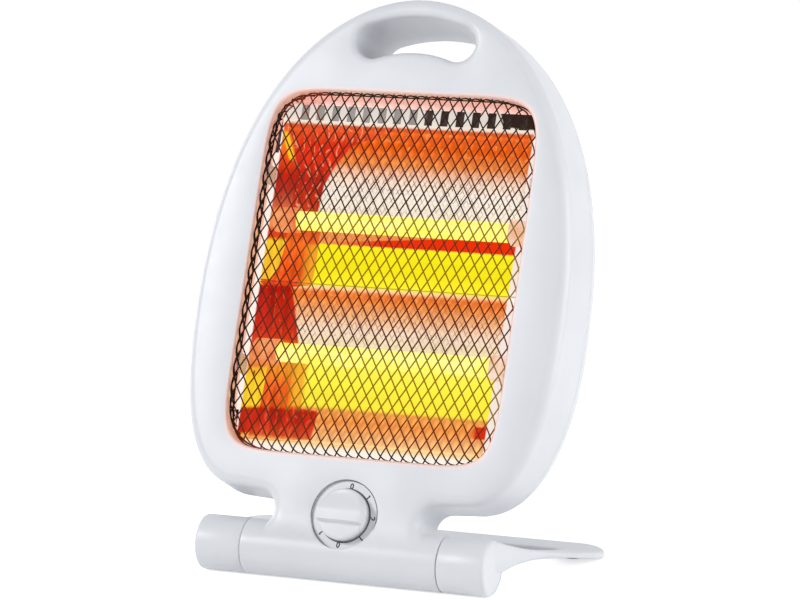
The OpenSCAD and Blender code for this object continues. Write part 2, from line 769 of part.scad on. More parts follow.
// Spring clip on the flat of the spindle, inside the knob.
clip_half = 1.3;
clip_t = 0.6;
module knob_clip() {
    color(steel) panel() at_v(dial_v + flat_rise + hair)
        slab([-clip_half, knob_face, 0], [clip_half, knob_back - wall - seat_gap, clip_t]);
}
module rotary_switch() {
    color([0.2, 0.2, 0.21]) panel() at_v(dial_v) difference() {
        union() {
            slab([-switch_w / 2, switch_y, -switch_w / 2],
                [switch_w / 2, switch_y + switch_d, switch_w / 2]);
            rod_y(bush_dia, face_y + dial_d - dial_ring_t, switch_y + 1);
        }
        rod_y(spindle_dia + 2 * spindle_clear, -far, spindle_tail + hair, smooth);
        for (s = [-1, 1]) translate([s * switch_screw_x, 0, 0])
            rod_y(switch_screw_dia, -far, switch_y + 6, small);
    }
}
switch_screw_x = 9.5;
switch_screw_dia = 2.5;
module switch_terminals() {
    color("goldenrod") panel() at_v(dial_v) for (x = [-8, 0, 8])
        slab([x - tab_w / 2, switch_y + switch_d, tab_rise],
            [x + tab_w / 2, switch_y + switch_d + tab_len, tab_rise + sheet]);
}
tab_len = 5;
tab_w = 4.8;
tab_rise = -3;
// Two screws through the floor of the dial recess, hidden under the knob.
module switch_screws() {
    color(steel) panel() at_v(dial_v) for (s = [-1, 1]) translate([s * switch_screw_x, 0, 0])
        rod_y(switch_screw_dia - 2 * hair, face_y + dial_d + seat_gap, switch_y + 5, small);
}

module thermal_cutout() {
    seat = lip_y + trough_d + hair;
    color([0.15, 0.15, 0.16]) panel() at_v(tube_v[0] + cutout_rise) {
        rod_y(cutout_dia, seat, seat + cutout_h);
        slab([-cutout_ear, seat, -cutout_strap / 2], [cutout_ear, seat + sheet, cutout_strap / 2]);
    }
}
cutout_rise = 8;
cutout_ear = 13;
cutout_strap = 8;
cutout_head = [4, 1.5];
module cutout_screws() {
    seat = lip_y + trough_d + hair + sheet;
    color(steel) panel() at_v(tube_v[0] + cutout_rise) for (s = [-1, 1])
        translate([s * (cutout_ear - cutout_head[0] / 2), 0, 0])
            rod_y(cutout_head[0], seat, seat + cutout_head[1], small);
}

// The tip-over switch hangs in axes level with the floor, so its weight is plumb at rest.
module tip_axes() {
    panel() translate([tip_x, tip_y, tip_v]) rotate([lean, 0, 0]) children();
}
tip_y = 3;
cheek = 1.6;
cheek_low = [-4, -5];
cheek_high = [7, 5];
module tip_frame() {
    half = tip_bay / 2;
    foot_y = face_y + wall + seat_gap;
    color([0.2, 0.2, 0.21]) {
        tip_axes() difference() {
            union() {
                both_sides() slab([half, cheek_low[0], cheek_low[1]],
                    [half + cheek, cheek_high[0], cheek_high[1]]);
                slab([-half - cheek, cheek_low[0], cheek_high[1]],
                    [half + cheek, cheek_high[0], cheek_high[1] + cheek]);
            }
            rod_x(tip_pin_dia + 2 * hair, -far, far, small);
        }
        panel() translate([tip_x, 0, 0]) both_sides()
            slab([half, foot_y, tip_v - leg_len], [half + cheek, tip_y - tip_pin_dia, tip_v + leg_len]);
    }
}
module tip_pin() {
    half = tip_bay / 2 + cheek;
    color(steel) tip_axes() rod_x(tip_pin_dia, -half, half, small);
}
arm_t = 3;
arm_deep = 5;
micro_t = 6;
module tip_weight() {
    color("darkgoldenrod") tip_axes() difference() {
        union() {
            slab([-arm_t / 2, -arm_deep / 2, -tip_arm], [arm_t / 2, arm_deep / 2, 0]);
            rod_x(tip_pin_dia + 2 * wall, -arm_t, arm_t, small);
            at_v(-tip_arm) rod_x(tip_weight_dia, -tip_weight_len / 2, tip_weight_len / 2);
        }
        rod_x(tip_pin_dia + 2 * tip_clear, -far, far, small);
    }
}
module tip_microswitch() {
    half = tip_bay / 2 + cheek;
    color([0.85, 0.3, 0.2]) tip_axes() slab([half + hair, cheek_low[0], cheek_low[1]],
        [half + micro_t, cheek_high[0], cheek_high[1]]);
}

module terminal_block() {
    color(ceramic_white) panel() translate(block_place) difference() {
        slab([-block_size[0] / 2, 0, 0], [block_size[0] / 2, block_size[1], block_size[2]]);
        for (x = block_ways) translate([x, 0, block_size[2] / 2])
            rod_y(way_dia, block_size[1] - way_depth, far, small);
    }
}
block_ways = [-7, 0, 7];
way_dia = 3.4;
way_depth = 5;
module terminal_screws() {
    color(steel) panel() translate(block_place) for (x = block_ways)
        translate([x, 0, block_size[2] / 2])
            rod_y(way_dia - 2 * hair, block_size[1] - way_depth, block_size[1] - 1, small);
}
inlet_back = back_y(inlet_v) + 2.5;
inlet_len = 13;
inlet_collar = 3;
// Flanged bushing of the cable inlet; its collar sits on the rear cover's round pad.
module cable_bushing() {
    color([0.25, 0.25, 0.26]) panel() translate([inlet_x, 0, inlet_v]) difference() {
        union() {
            rod_y(inlet_dia + 2 * inlet_wall, inlet_back - inlet_len, inlet_back + hair);
            rod_y(inlet_flange_dia - 2, inlet_back + hair, inlet_back + inlet_collar);
        }
        rod_y(inlet_dia, -far, far, smooth);
    }
}

// Internal leads: a round section swept along a smooth curve through chosen points.
function rest_of(p, i) = p[min(max(i, 0), len(p) - 1)];
function blend(p, i, t) = let (a = rest_of(p, i - 1), b = rest_of(p, i), c = rest_of(p, i + 1),
    d = rest_of(p, i + 2)) 0.5 * (2 * b + (c - a) * t + (2 * a - 5 * b + 4 * c - d) * t * t
    + (3 * b - a - 3 * c + d) * t * t * t);
function route(p, n) = concat(
    [for (i = [0 : len(p) - 2]) for (j = [0 : n - 1]) blend(p, i, j / n)], [p[len(p) - 1]]);
function unit(v) = v / norm(v);
module lead(points) {
    path = route(points, 4);
    m = len(path);
    sides = 8;
    // The section's first axis stays square to the path and close to the axis it starts with.
    function heading(i) = unit(path[min(i + 1, m - 1)] - path[max(i - 1, 0)]);
    function first_axis(i) = let (h = heading(i), r = i == 0 ? [0.3, 1, 0.2] : first_axis(i - 1))
        unit(r - (r * h) * h);
    rings = [for (i = [0 : m - 1]) let (u = first_axis(i), w = cross(heading(i), u))
        each [for (k = [0 : sides - 1])
            path[i] + lead_dia / 2 * (cos(360 * k / sides) * u + sin(360 * k / sides) * w)]];
    walls = [for (i = [0 : m - 2]) for (k = [0 : sides - 1])
        let (a = i * sides + k, b = i * sides + (k + 1) % sides)
        each [[a, a + sides, b + sides], [a, b + sides, b]]];
    start = [[for (k = [0 : sides - 1]) k]];
    stop = [[for (k = [sides - 1 : -1 : 0]) (m - 1) * sides + k]];
    panel() polyhedron(rings, concat(walls, start, stop), convexity = 6);
}
// Leads end against the posts and tabs they serve; the points are [across, back, up] in the panel.
lead_x = cap_out_x + post_len - 2;
lead_y = tube_y + (post_dia + lead_dia) / 2;
tab_y = switch_y + switch_d + tab_len + lead_dia / 2 + hair;
tab_v = dial_v + tab_rise + sheet / 2;
rear_y = lip_y + trough_d + 4.6;
lead_side = 10.2;
side_x = end_x + sheet + lead_side;
live_route = [[-27, 0, 45], [-25, 6, 47], [-20, 11, 42], [-12, tab_y + 2, 30], [-8, tab_y, tab_v]];
upper_tube_route = [[0, tab_y, tab_v], [-3, 18, 30], [-16, 21, 45], [-50, 22, 56], [4 - end_x, 22, 63],
    [1 - side_x, 21, 84], [-side_x, 20.6, 120], [-side_x, 20.6, 170], [-side_x, 19.5, 198],
    [-lead_x, lead_y, tube_v[0]]];
lower_tube_route = [[8, tab_y, tab_v], [6, 16, 30], [-4, 17, 42], [-44, 17, 52], [6 - end_x, 17, 59],
    [2 - side_x, 17, 73], [-side_x, 17, 100], [-lead_x, lead_y, tube_v[1]]];
tube_link_route = [[lead_x, lead_y, tube_v[0]], [side_x, 19.5, 194], [side_x, 20, ridge_v],
    [side_x, 19.5, 136],
    [lead_x, lead_y, tube_v[1]]];
cutout_route = [[lead_x, lead_y + lead_dia, tube_v[0]], [side_x, 27, 212], [end_x - 2, 36.5, 218],
    [60, rear_y, 220], [30, rear_y, 219], [cutout_dia / 2 + 2, rear_y, 216]];
neutral_route = [[-cutout_dia / 2 - 2, rear_y, 214], [-13, rear_y, 200], [-13, rear_y, 140],
    [-14, 35.2, 104], [-18, 29, 80], [-26, 22, 62], [-36, 9, 55], [-34, 0, 45]];
module live_lead() {
    color("saddlebrown") lead(live_route);
}
module upper_tube_lead() {
    color("firebrick") lead(upper_tube_route);
}
module lower_tube_lead() {
    color("firebrick") lead(lower_tube_route);
}
module tube_link_lead() {
    color("firebrick") lead(tube_link_route);
}
module cutout_lead() {
    color("royalblue") lead(cutout_route);
}
module neutral_lead() {
    color("royalblue") lead(neutral_route);
}

// Stand: the arms sweep from the end barrels down to the rear rail.
arm_top = [[8, 32], [34, 20], [70, 15], [stand_d - 19, rail_t]];
arm_under = [[14, 12.5], [45, 20], [75, 8], [stand_d - 14, 0]];
arm_edge = [[end_half, 2], [end_half + 9, 36], [stand_w / 2, 66], [stand_w / 2, stand_d - stand_corner]];
arm_steps = 14;
module stand_side() {
    low = [for (i = [0 : arm_steps]) cubic(arm_under, i / arm_steps)];
    high = [for (i = [arm_steps : -1 : 0]) cubic(arm_top, i / arm_steps)];
    polygon([for (p = concat(low, [[stand_d - 2, 0], [stand_d, 2], [stand_d, rail_t - 3],
        [stand_d - 3, rail_t]], high)) p - [0, axis_z] + [0, pad_proud * step_up(p)]]);
}
// The underside of the rail stands off the floor by what the pads stand out.
function step_up(p) = p[1] < 2 ? 1 : 0;
module stand_plan() {
    edge = [for (i = [0 : arm_steps]) cubic(arm_edge, i / arm_steps)];
    corner = [for (i = [1 : 5]) [stand_w / 2 - stand_corner, stand_d - stand_corner]
        + stand_corner * [cos(18 * i), sin(18 * i)]];
    half = concat(edge, corner);
    inner_r = max(4, stand_corner - arm_w / 2);
    inner_x = stand_w / 2 - arm_w;
    inner_y = stand_d - rail_w;
    inner_edge = [for (i = [0 : arm_steps]) cubic([[mid_half + barrel_end + 4, -1],
        [end_half - 14, 34], [inner_x, 60], [inner_x, inner_y - inner_r]], i / arm_steps)];
    inner_corner = [for (i = [1 : 5]) [inner_x - inner_r, inner_y - inner_r]
        + inner_r * [cos(18 * i), sin(18 * i)]];
    inner = concat(inner_edge, inner_corner);
    difference() {
        polygon(concat(half, [for (i = [len(half) - 1 : -1 : 0]) [-half[i][0], half[i][1]]]));
        polygon(concat([[inner[0][0], -20]], inner,
            [for (i = [len(inner) - 1 : -1 : 0]) [-inner[i][0], inner[i][1]]],
            [[-inner[0][0], -20]]));
    }
}
module end_barrel() {
    start = mid_half + barrel_gap;
    inner = barrel_r - barrel_wall;
    difference() {
        union() {
            rod_x(barrel_dia, start, end_half - barrel_round, smooth);
            translate([end_half - barrel_round, 0, 0]) rotate([0, 90, 0]) rotate_extrude($fn = smooth)
                difference() {
                    square([barrel_r, barrel_round]);
                    translate([barrel_r - barrel_round, 0]) difference() {
                        square(barrel_round + 1);
                        circle(r = barrel_round, $fn = small);
                    }
                }
            rod_x(spigot_dia, nut_x, start + 1, smooth);
        }
        rod_x(2 * inner, start + barrel_end, far, smooth);
        rod_x(hinge_screw_dia + 2 * fit_gap, -far, far, small);
    }
}
module stand_frame() {
    color(shell_white) level() difference() {
        union() {
            both_sides() end_barrel();
            difference() {
                intersection() {
                    across(-far, far) stand_side();
                    translate([0, 0, -axis_z]) linear_extrude(2 * barrel_dia) stand_plan();
                }
                rod_x(barrel_dia - 1, -far, far, smooth);
                both_sides() slab([0, -far, -far], [mid_half + barrel_gap, barrel_r + 3, far]);
            }
        }
        both_sides() translate([pad_x, pad_y, -axis_z])
            cylinder(d = pad_dia + 2 * hair, h = pad_t, $fn = medium);
    }
}
pad_x = stand_w / 2 - stand_corner;
pad_y = stand_d - rail_w / 2 - 1;
module foot_pad(side) {
    color([0.2, 0.2, 0.2]) level() translate([side * pad_x, pad_y, -axis_z])
        cylinder(d = pad_dia, h = pad_t - hair, $fn = medium);
}
module left_foot_pad() {
    foot_pad(-1);
}
module right_foot_pad() {
    foot_pad(1);
}
// End cover: a disc let into the mouth of the end barrel, with a short rim behind it.
cover_rim = 4;
cover_wall = 1.5;
module end_cover(side) {
    inner = barrel_r - barrel_wall - hair;
    color(shell_white) level() mirror([side < 0 ? 1 : 0, 0, 0]) difference() {
        rod_x(2 * inner, end_half - cover_t - cover_rim, end_half - fit_gap, smooth);
        rod_x(2 * inner - 2 * cover_wall, 0, end_half - cover_t, smooth);
    }
}
module left_end_cover() {
    end_cover(-1);
}
module right_end_cover() {
    end_cover(1);
}
screw_seat_x = mid_half + barrel_gap + barrel_end;
nut_x = mid_half - barrel_end - washer_t - 2 * fit_gap;
nut_t = 4;
hinge_screw_over = 2;
hinge_head = [9, 3];
module hinge_screw(side) {
    color(steel) level() mirror([side < 0 ? 1 : 0, 0, 0]) {
        rod_x(hinge_screw_dia - 2 * hair, nut_x - nut_t - hinge_screw_over, screw_seat_x, small);
        rod_x(hinge_head[0], screw_seat_x, screw_seat_x + hinge_head[1], small);
    }
}
module left_hinge_screw() {
    hinge_screw(-1);
}
module right_hinge_screw() {
    hinge_screw(1);
}
module spring_washer(side) {
    color(steel) level() mirror([side < 0 ? 1 : 0, 0, 0]) difference() {
        rod_x(washer_dia, nut_x + 2 * hair, nut_x + washer_t + 2 * hair);
        rod_x(spigot_dia + 2 * hair, -far, far);
    }
}
module left_spring_washer() {
    spring_washer(-1);
}
module right_spring_washer() {
    spring_washer(1);
}
module hinge_nut(side) {
    color(steel) level() mirror([side < 0 ? 1 : 0, 0, 0]) difference() {
        rod_x(washer_dia - 2, nut_x - nut_t, nut_x, 6);
        rod_x(hinge_screw_dia, -far, far, small);
    }
}
module left_hinge_nut() {
    hinge_nut(-1);
}
module right_hinge_nut() {
    hinge_nut(1);
}

front_cover();
rear_cover();
guard_mesh();
guard_clips();
upper_reflector();
lower_reflector();
left_end_plate();
right_end_plate();
reflector_screws();
upper_tube();
lower_tube();
upper_element();
lower_element();
upper_left_cap();
upper_right_cap();
lower_left_cap();
lower_right_cap();
upper_left_bracket();
upper_right_bracket();
lower_left_bracket();
lower_right_bracket();
bracket_screws();
tube_terminals();
dial_ring();
knob();
knob_spindle();
knob_clip();
rotary_switch();
switch_terminals();
switch_screws();
thermal_cutout();
cutout_screws();
tip_frame();
tip_pin();
tip_weight();
tip_microswitch();
terminal_block();
terminal_screws();
cable_bushing();
live_lead();
upper_tube_lead();
lower_tube_lead();
tube_link_lead();
cutout_lead();
neutral_lead();
case_screws();
stand_frame();
left_end_cover();
right_end_cover();
left_hinge_screw();
right_hinge_screw();
left_spring_washer();
right_spring_washer();
left_hinge_nut();
right_hinge_nut();
left_foot_pad();
right_foot_pad();
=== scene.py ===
"""Folding radiant heater with two quartz tubes: its looks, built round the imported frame.

Sizes are millimetres in the leaning panel's own axes until Axes.place turns them into row metres.
"""
import logging
import math
from collections.abc import Callable
from dataclasses import dataclass, field
from enum import Enum

import bmesh
import bpy
import numpy as np
from mathutils import Matrix, Vector
from mathutils.geometry import delaunay_2d_cdt


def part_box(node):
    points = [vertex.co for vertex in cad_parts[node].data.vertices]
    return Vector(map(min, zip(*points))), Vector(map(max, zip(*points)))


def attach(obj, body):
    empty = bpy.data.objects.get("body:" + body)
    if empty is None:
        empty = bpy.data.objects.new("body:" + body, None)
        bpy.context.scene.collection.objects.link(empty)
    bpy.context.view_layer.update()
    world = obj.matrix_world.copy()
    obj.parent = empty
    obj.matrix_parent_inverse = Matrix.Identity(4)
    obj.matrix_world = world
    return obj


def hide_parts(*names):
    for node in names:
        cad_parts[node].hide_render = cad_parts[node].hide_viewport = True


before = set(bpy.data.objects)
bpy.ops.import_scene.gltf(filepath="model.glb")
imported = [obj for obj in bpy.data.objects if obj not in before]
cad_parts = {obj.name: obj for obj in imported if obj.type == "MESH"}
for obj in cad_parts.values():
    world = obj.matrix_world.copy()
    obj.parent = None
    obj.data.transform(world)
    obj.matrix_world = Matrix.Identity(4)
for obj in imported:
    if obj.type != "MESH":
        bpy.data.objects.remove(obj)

log = logging.getLogger("heater")
Array = np.ndarray
Tree = bpy.types.NodeTree
Socket = bpy.types.NodeSocket
MM = 0.001


class Body(Enum):
    """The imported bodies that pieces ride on."""

    STAND = "stand"
    HOUSING = "housing"
    KNOB = "knob"


class Lattice(Enum):
    """What the guard's two ways make where they cross."""

    LINES = "MAXIMUM"
    DIAMONDS = "MULTIPLY"


@dataclass(frozen=True)
class Axes:
    """Axes across, back and up from the middle of the hinge, leaning back by an angle."""

    lean: float
    hinge: tuple[float, float]

    def place(self, across: Array, back: Array, up: Array) -> Array:
        """Turns sizes in these axes into row metres, by a turn about the hinge and a shift.

        Args:
            across: millimetres to the right.
            back: millimetres behind the hinge axis.
            up: millimetres above the hinge axis.

        Returns:
            Points in metres, with three numbers in the last dimension.
        """
        across, back, up = np.broadcast_arrays(np.asarray(across, float), back, up)
        s, c = math.sin(self.lean), math.cos(self.lean)
        y = up * s + back * c
        z = up * c - back * s
        return np.stack([across * MM, y * MM + self.hinge[0], z * MM + self.hinge[1]], -1)


def hinge_middle() -> tuple[float, float]:
    """Row place (y, z) in metres of the hinge axis, from the left end cover's box."""
    low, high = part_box("left_end_cover")
    return (low.y + high.y) / 2, (low.z + high.z) / 2


PANEL = Axes(math.radians(21.5), hinge_middle())
LEVEL = Axes(0.0, hinge_middle())


def linear(code: str) -> tuple[float, float, float, float]:
    """Linear colour of an sRGB hex code such as "#E4E6E9".

    Args:
        code: the hex code.

    Returns:
        Red, green and blue, and an alpha of one.
    """
    parts = [int(code[i:i + 2], 16) / 255 for i in (1, 3, 5)]
    flat = [p / 12.92 if p <= 0.04045 else ((p + 0.055) / 1.055) ** 2.4 for p in parts]
    return flat[0], flat[1], flat[2], 1.0


def add_node(tree: Tree, kind: str, sockets: dict | None = None, stops: list | None = None,
             take: int | str = 0, **settings: object) -> Socket | None:
    """Adds one node with its settings and links.

    Where inputs go by number, MapRange takes its value as 0, the range that comes in as 1 and 2
    and the range that goes out as 3 and 4. Mix takes its share as 0 and its two colours as 6
    and 7, and Mapping its stretch as 3.

    Args:
        tree: the node tree.
        kind: the node's type name without its ShaderNode prefix.
        sockets: what each input, by name or number, gets: an output socket or a plain value.
        stops: places and linear colours of a colour ramp.
        take: the output to hand back, by name or number.
        settings: the node's own properties.

    Returns:
        That output's socket, or None where the node has no outputs.
    """
    node = tree.nodes.new("ShaderNode" + kind)
    for key, value in settings.items():
        setattr(node, key, value)
    for key, value in (sockets or {}).items():
        if isinstance(value, Socket):
            tree.links.new(value, node.inputs[key])
        else:
            node.inputs[key].default_value = value
    if stops:
        ramp = node.color_ramp
        while len(ramp.elements) < len(stops):
            ramp.elements.new(1.0)
        for element, (spot, colour) in zip(ramp.elements, stops):
            element.position, element.color = spot, colour
    return node.outputs[take] if len(node.outputs) else None


@dataclass(frozen=True)
class Grain:
    """A surface's grain: two tones and a fine relief that both follow one cloudy noise."""

    size_mm: float
    low: str
    high: str
    detail: float = 3.0
    stretch: tuple[float, float, float] = (1.0, 1.0, 1.0)
    relief: float = 0.2
    depth_mm: float = 0.1

    def lay(self, tree: Tree, shader: bpy.types.Node) -> tuple[Socket, Socket]:
        """Lays the grain on the object's own coordinates and gives the shader its relief.

        The tones go from low to high over the middle of the noise, where most of it lies.

        Args:
            tree: the node tree.
            shader: the surface shader, left as it is where the relief is nought.

        Returns:
            Sockets of the noise and of the tones.
        """
        place = add_node(tree, "TexCoord", take="Object")
        drawn = add_node(tree, "Mapping", {0: place, 3: self.stretch})
        noise = add_node(tree, "TexNoise", {"Vector": drawn, "Scale": 1 / (self.size_mm * MM),
                                            "Detail": self.detail})
        tones = add_node(tree, "ValToRGB", {0: noise},
                         [(0.3, linear(self.low)), (0.7, linear(self.high))])
        if self.relief:
            bump = add_node(tree, "Bump", {"Strength": self.relief, "Height": noise,
                                           "Distance": self.depth_mm * MM})
            tree.links.new(bump, shader.inputs["Normal"])
        return noise, tones


@dataclass(frozen=True)
class Finish:
    """A finish: material() makes it once, and every piece that has it shares it."""

    name: str
    colour: str
    roughness: float = 0.4

    def begin(self) -> tuple[bpy.types.Material, Tree, bpy.types.Node]:
        """A new material, its tree and its surface shader with the plain values set."""
        material = bpy.data.materials.new(self.name)
        material.use_nodes = True
        tree = material.node_tree
        shader = tree.nodes["Principled BSDF"]
        shader.inputs["Base Color"].default_value = linear(self.colour)
        shader.inputs["Roughness"].default_value = self.roughness
        return material, tree, shader

    def material(self) -> bpy.types.Material:
        """The finished material."""
        raise NotImplementedError


@dataclass(frozen=True)
class MouldedWhite(Finish):
    """White ABS, injection moulded and satin.

    It gives the eye a soft sheen, with hardly visible flow marks and patches of more or less
    shine. A casing that has a glow gets it as painted light round the window: a pink glow on
    the face and a faint glow on the window's inner wall.
    """

    dark: str = "#D9DBDE"
    flow_mm: float = 42.0
    patch_mm: float = 9.0
    skin_mm: float = 1.1
    ior: float = 1.53
    glow: str = ""
    wall_glow: str = "#F2A48C"
    glow_from_mm: float = 1.0
    glow_fade_mm: float = 3.0

    def material(self) -> bpy.types.Material:
        """The satin plastic, with a painted glow round the window where glow names a colour.

        Returns:
            The new material.
        """
        material, tree, shader = self.begin()
        # Flow marks of moulding are some 40 mm long and hardly darker than the rest.
        _, base = Grain(self.flow_mm, self.dark, self.colour, relief=0.0).lay(tree, shader)
        if self.glow:
            base = self.painted_glow(tree, shader, base)
        tree.links.new(base, shader.inputs["Base Color"])
        shader.inputs["IOR"].default_value = self.ior
        # The spark-eroded skin is about 0.1 mm; it is drawn coarser so that it shows at all.
        place = add_node(tree, "TexCoord", take="Object")
        patch, skin = (add_node(tree, "TexNoise", {"Vector": place, "Scale": 1 / (size * MM),
                                                   "Detail": detail})
                       for size, detail in ((self.patch_mm, 3.0), (self.skin_mm, 2.0)))
        rough = add_node(tree, "MapRange", {0: patch, 3: self.roughness - 0.04,
                                            4: self.roughness + 0.05})
        tree.links.new(rough, shader.inputs["Roughness"])
        bump = add_node(tree, "Bump", {"Strength": 0.05, "Distance": 0.05 * MM, "Height": skin})
        tree.links.new(bump, shader.inputs["Normal"])
        return material

    def painted_glow(self, tree: Tree, shader: bpy.types.Node, base: Socket) -> Socket:
        """Paints the tubes' glow on the casing, mixed in by how far a point lies outside the
        window.

        The outline is a superellipse: across over its half width and up, from its middle, over
        its half height, both raised to its power, add up to one on it, and the root of their sum
        grows evenly away from it. The window's inner wall gets a faint painted glow, the tubes'
        light falling on it, as emission. Both end a little behind the face, and the rest stays
        white.

        Args:
            tree: the node tree.
            shader: the surface shader, which gets the wall's glow.
            base: the plain colour's socket.

        Returns:
            The warmed colour's socket.
        """
        window = Window()
        s, c = math.sin(PANEL.lean), math.cos(PANEL.lean)
        y0, z0 = PANEL.hinge
        place = add_node(tree, "TexCoord", take="Object")
        across = add_node(tree, "SeparateXYZ", {0: place})
        rise, inward = (add_node(tree, "VectorMath", {0: place, 1: way}, take="Value",
                                 operation="DOT_PRODUCT") for way in ((0.0, s, c), (0.0, c, -s)))
        middle = y0 * s + z0 * c + window.middle * MM
        shares = []
        for value, centre, half in ((across, 0.0, window.half[0]), (rise, middle, window.half[1])):
            away = add_node(tree, "Math", {0: value, 1: centre}, operation="SUBTRACT")
            size = add_node(tree, "Math", {0: away}, operation="ABSOLUTE")
            share = add_node(tree, "Math", {0: size, 1: half * MM}, operation="DIVIDE")
            shares.append(add_node(tree, "Math", {0: share, 1: window.square}, operation="POWER"))
        total = add_node(tree, "Math", {0: shares[0], 1: shares[1]}, operation="ADD")
        root = add_node(tree, "Math", {0: total, 1: 1 / window.square}, operation="POWER")
        front = y0 * c - z0 * s + self.glow_from_mm * MM
        outer = add_node(tree, "MapRange", {0: inward, 1: front, 2: front + self.glow_fade_mm * MM,
                                            3: 1.0, 4: 0.0})
        # Painted glow: a pink tint on the face just outside the window.
        tint = add_node(tree, "MapRange", {0: root, 1: 1.008, 2: 1.034, 3: 0.9, 4: 0.0},
                        interpolation_type="SMOOTHERSTEP")
        # Painted light on the window's inner wall, emitted faintly.
        lit = add_node(tree, "MapRange", {0: root, 1: 1.004, 2: 0.999, 4: 0.42})
        near, wall = (add_node(tree, "Math", {0: share, 1: outer}, operation="MULTIPLY")
                      for share in (tint, lit))
        tree.links.new(wall, shader.inputs["Emission Strength"])
        shader.inputs["Emission Color"].default_value = linear(self.wall_glow)
        return add_node(tree, "Mix", {0: near, 6: base, 7: linear(self.glow)}, take=2,
                        data_type="RGBA")


@dataclass(frozen=True)
class Area:
    """A part of the glow picture with a colour of its own.

    Each edge is (across weight, up weight, none, full): the weighted sum of a point's two places
    shows nothing of the colour at the third number and all of it at the fourth.
    """

    colour: str
    edges: tuple[tuple[float, float, float, float], ...]


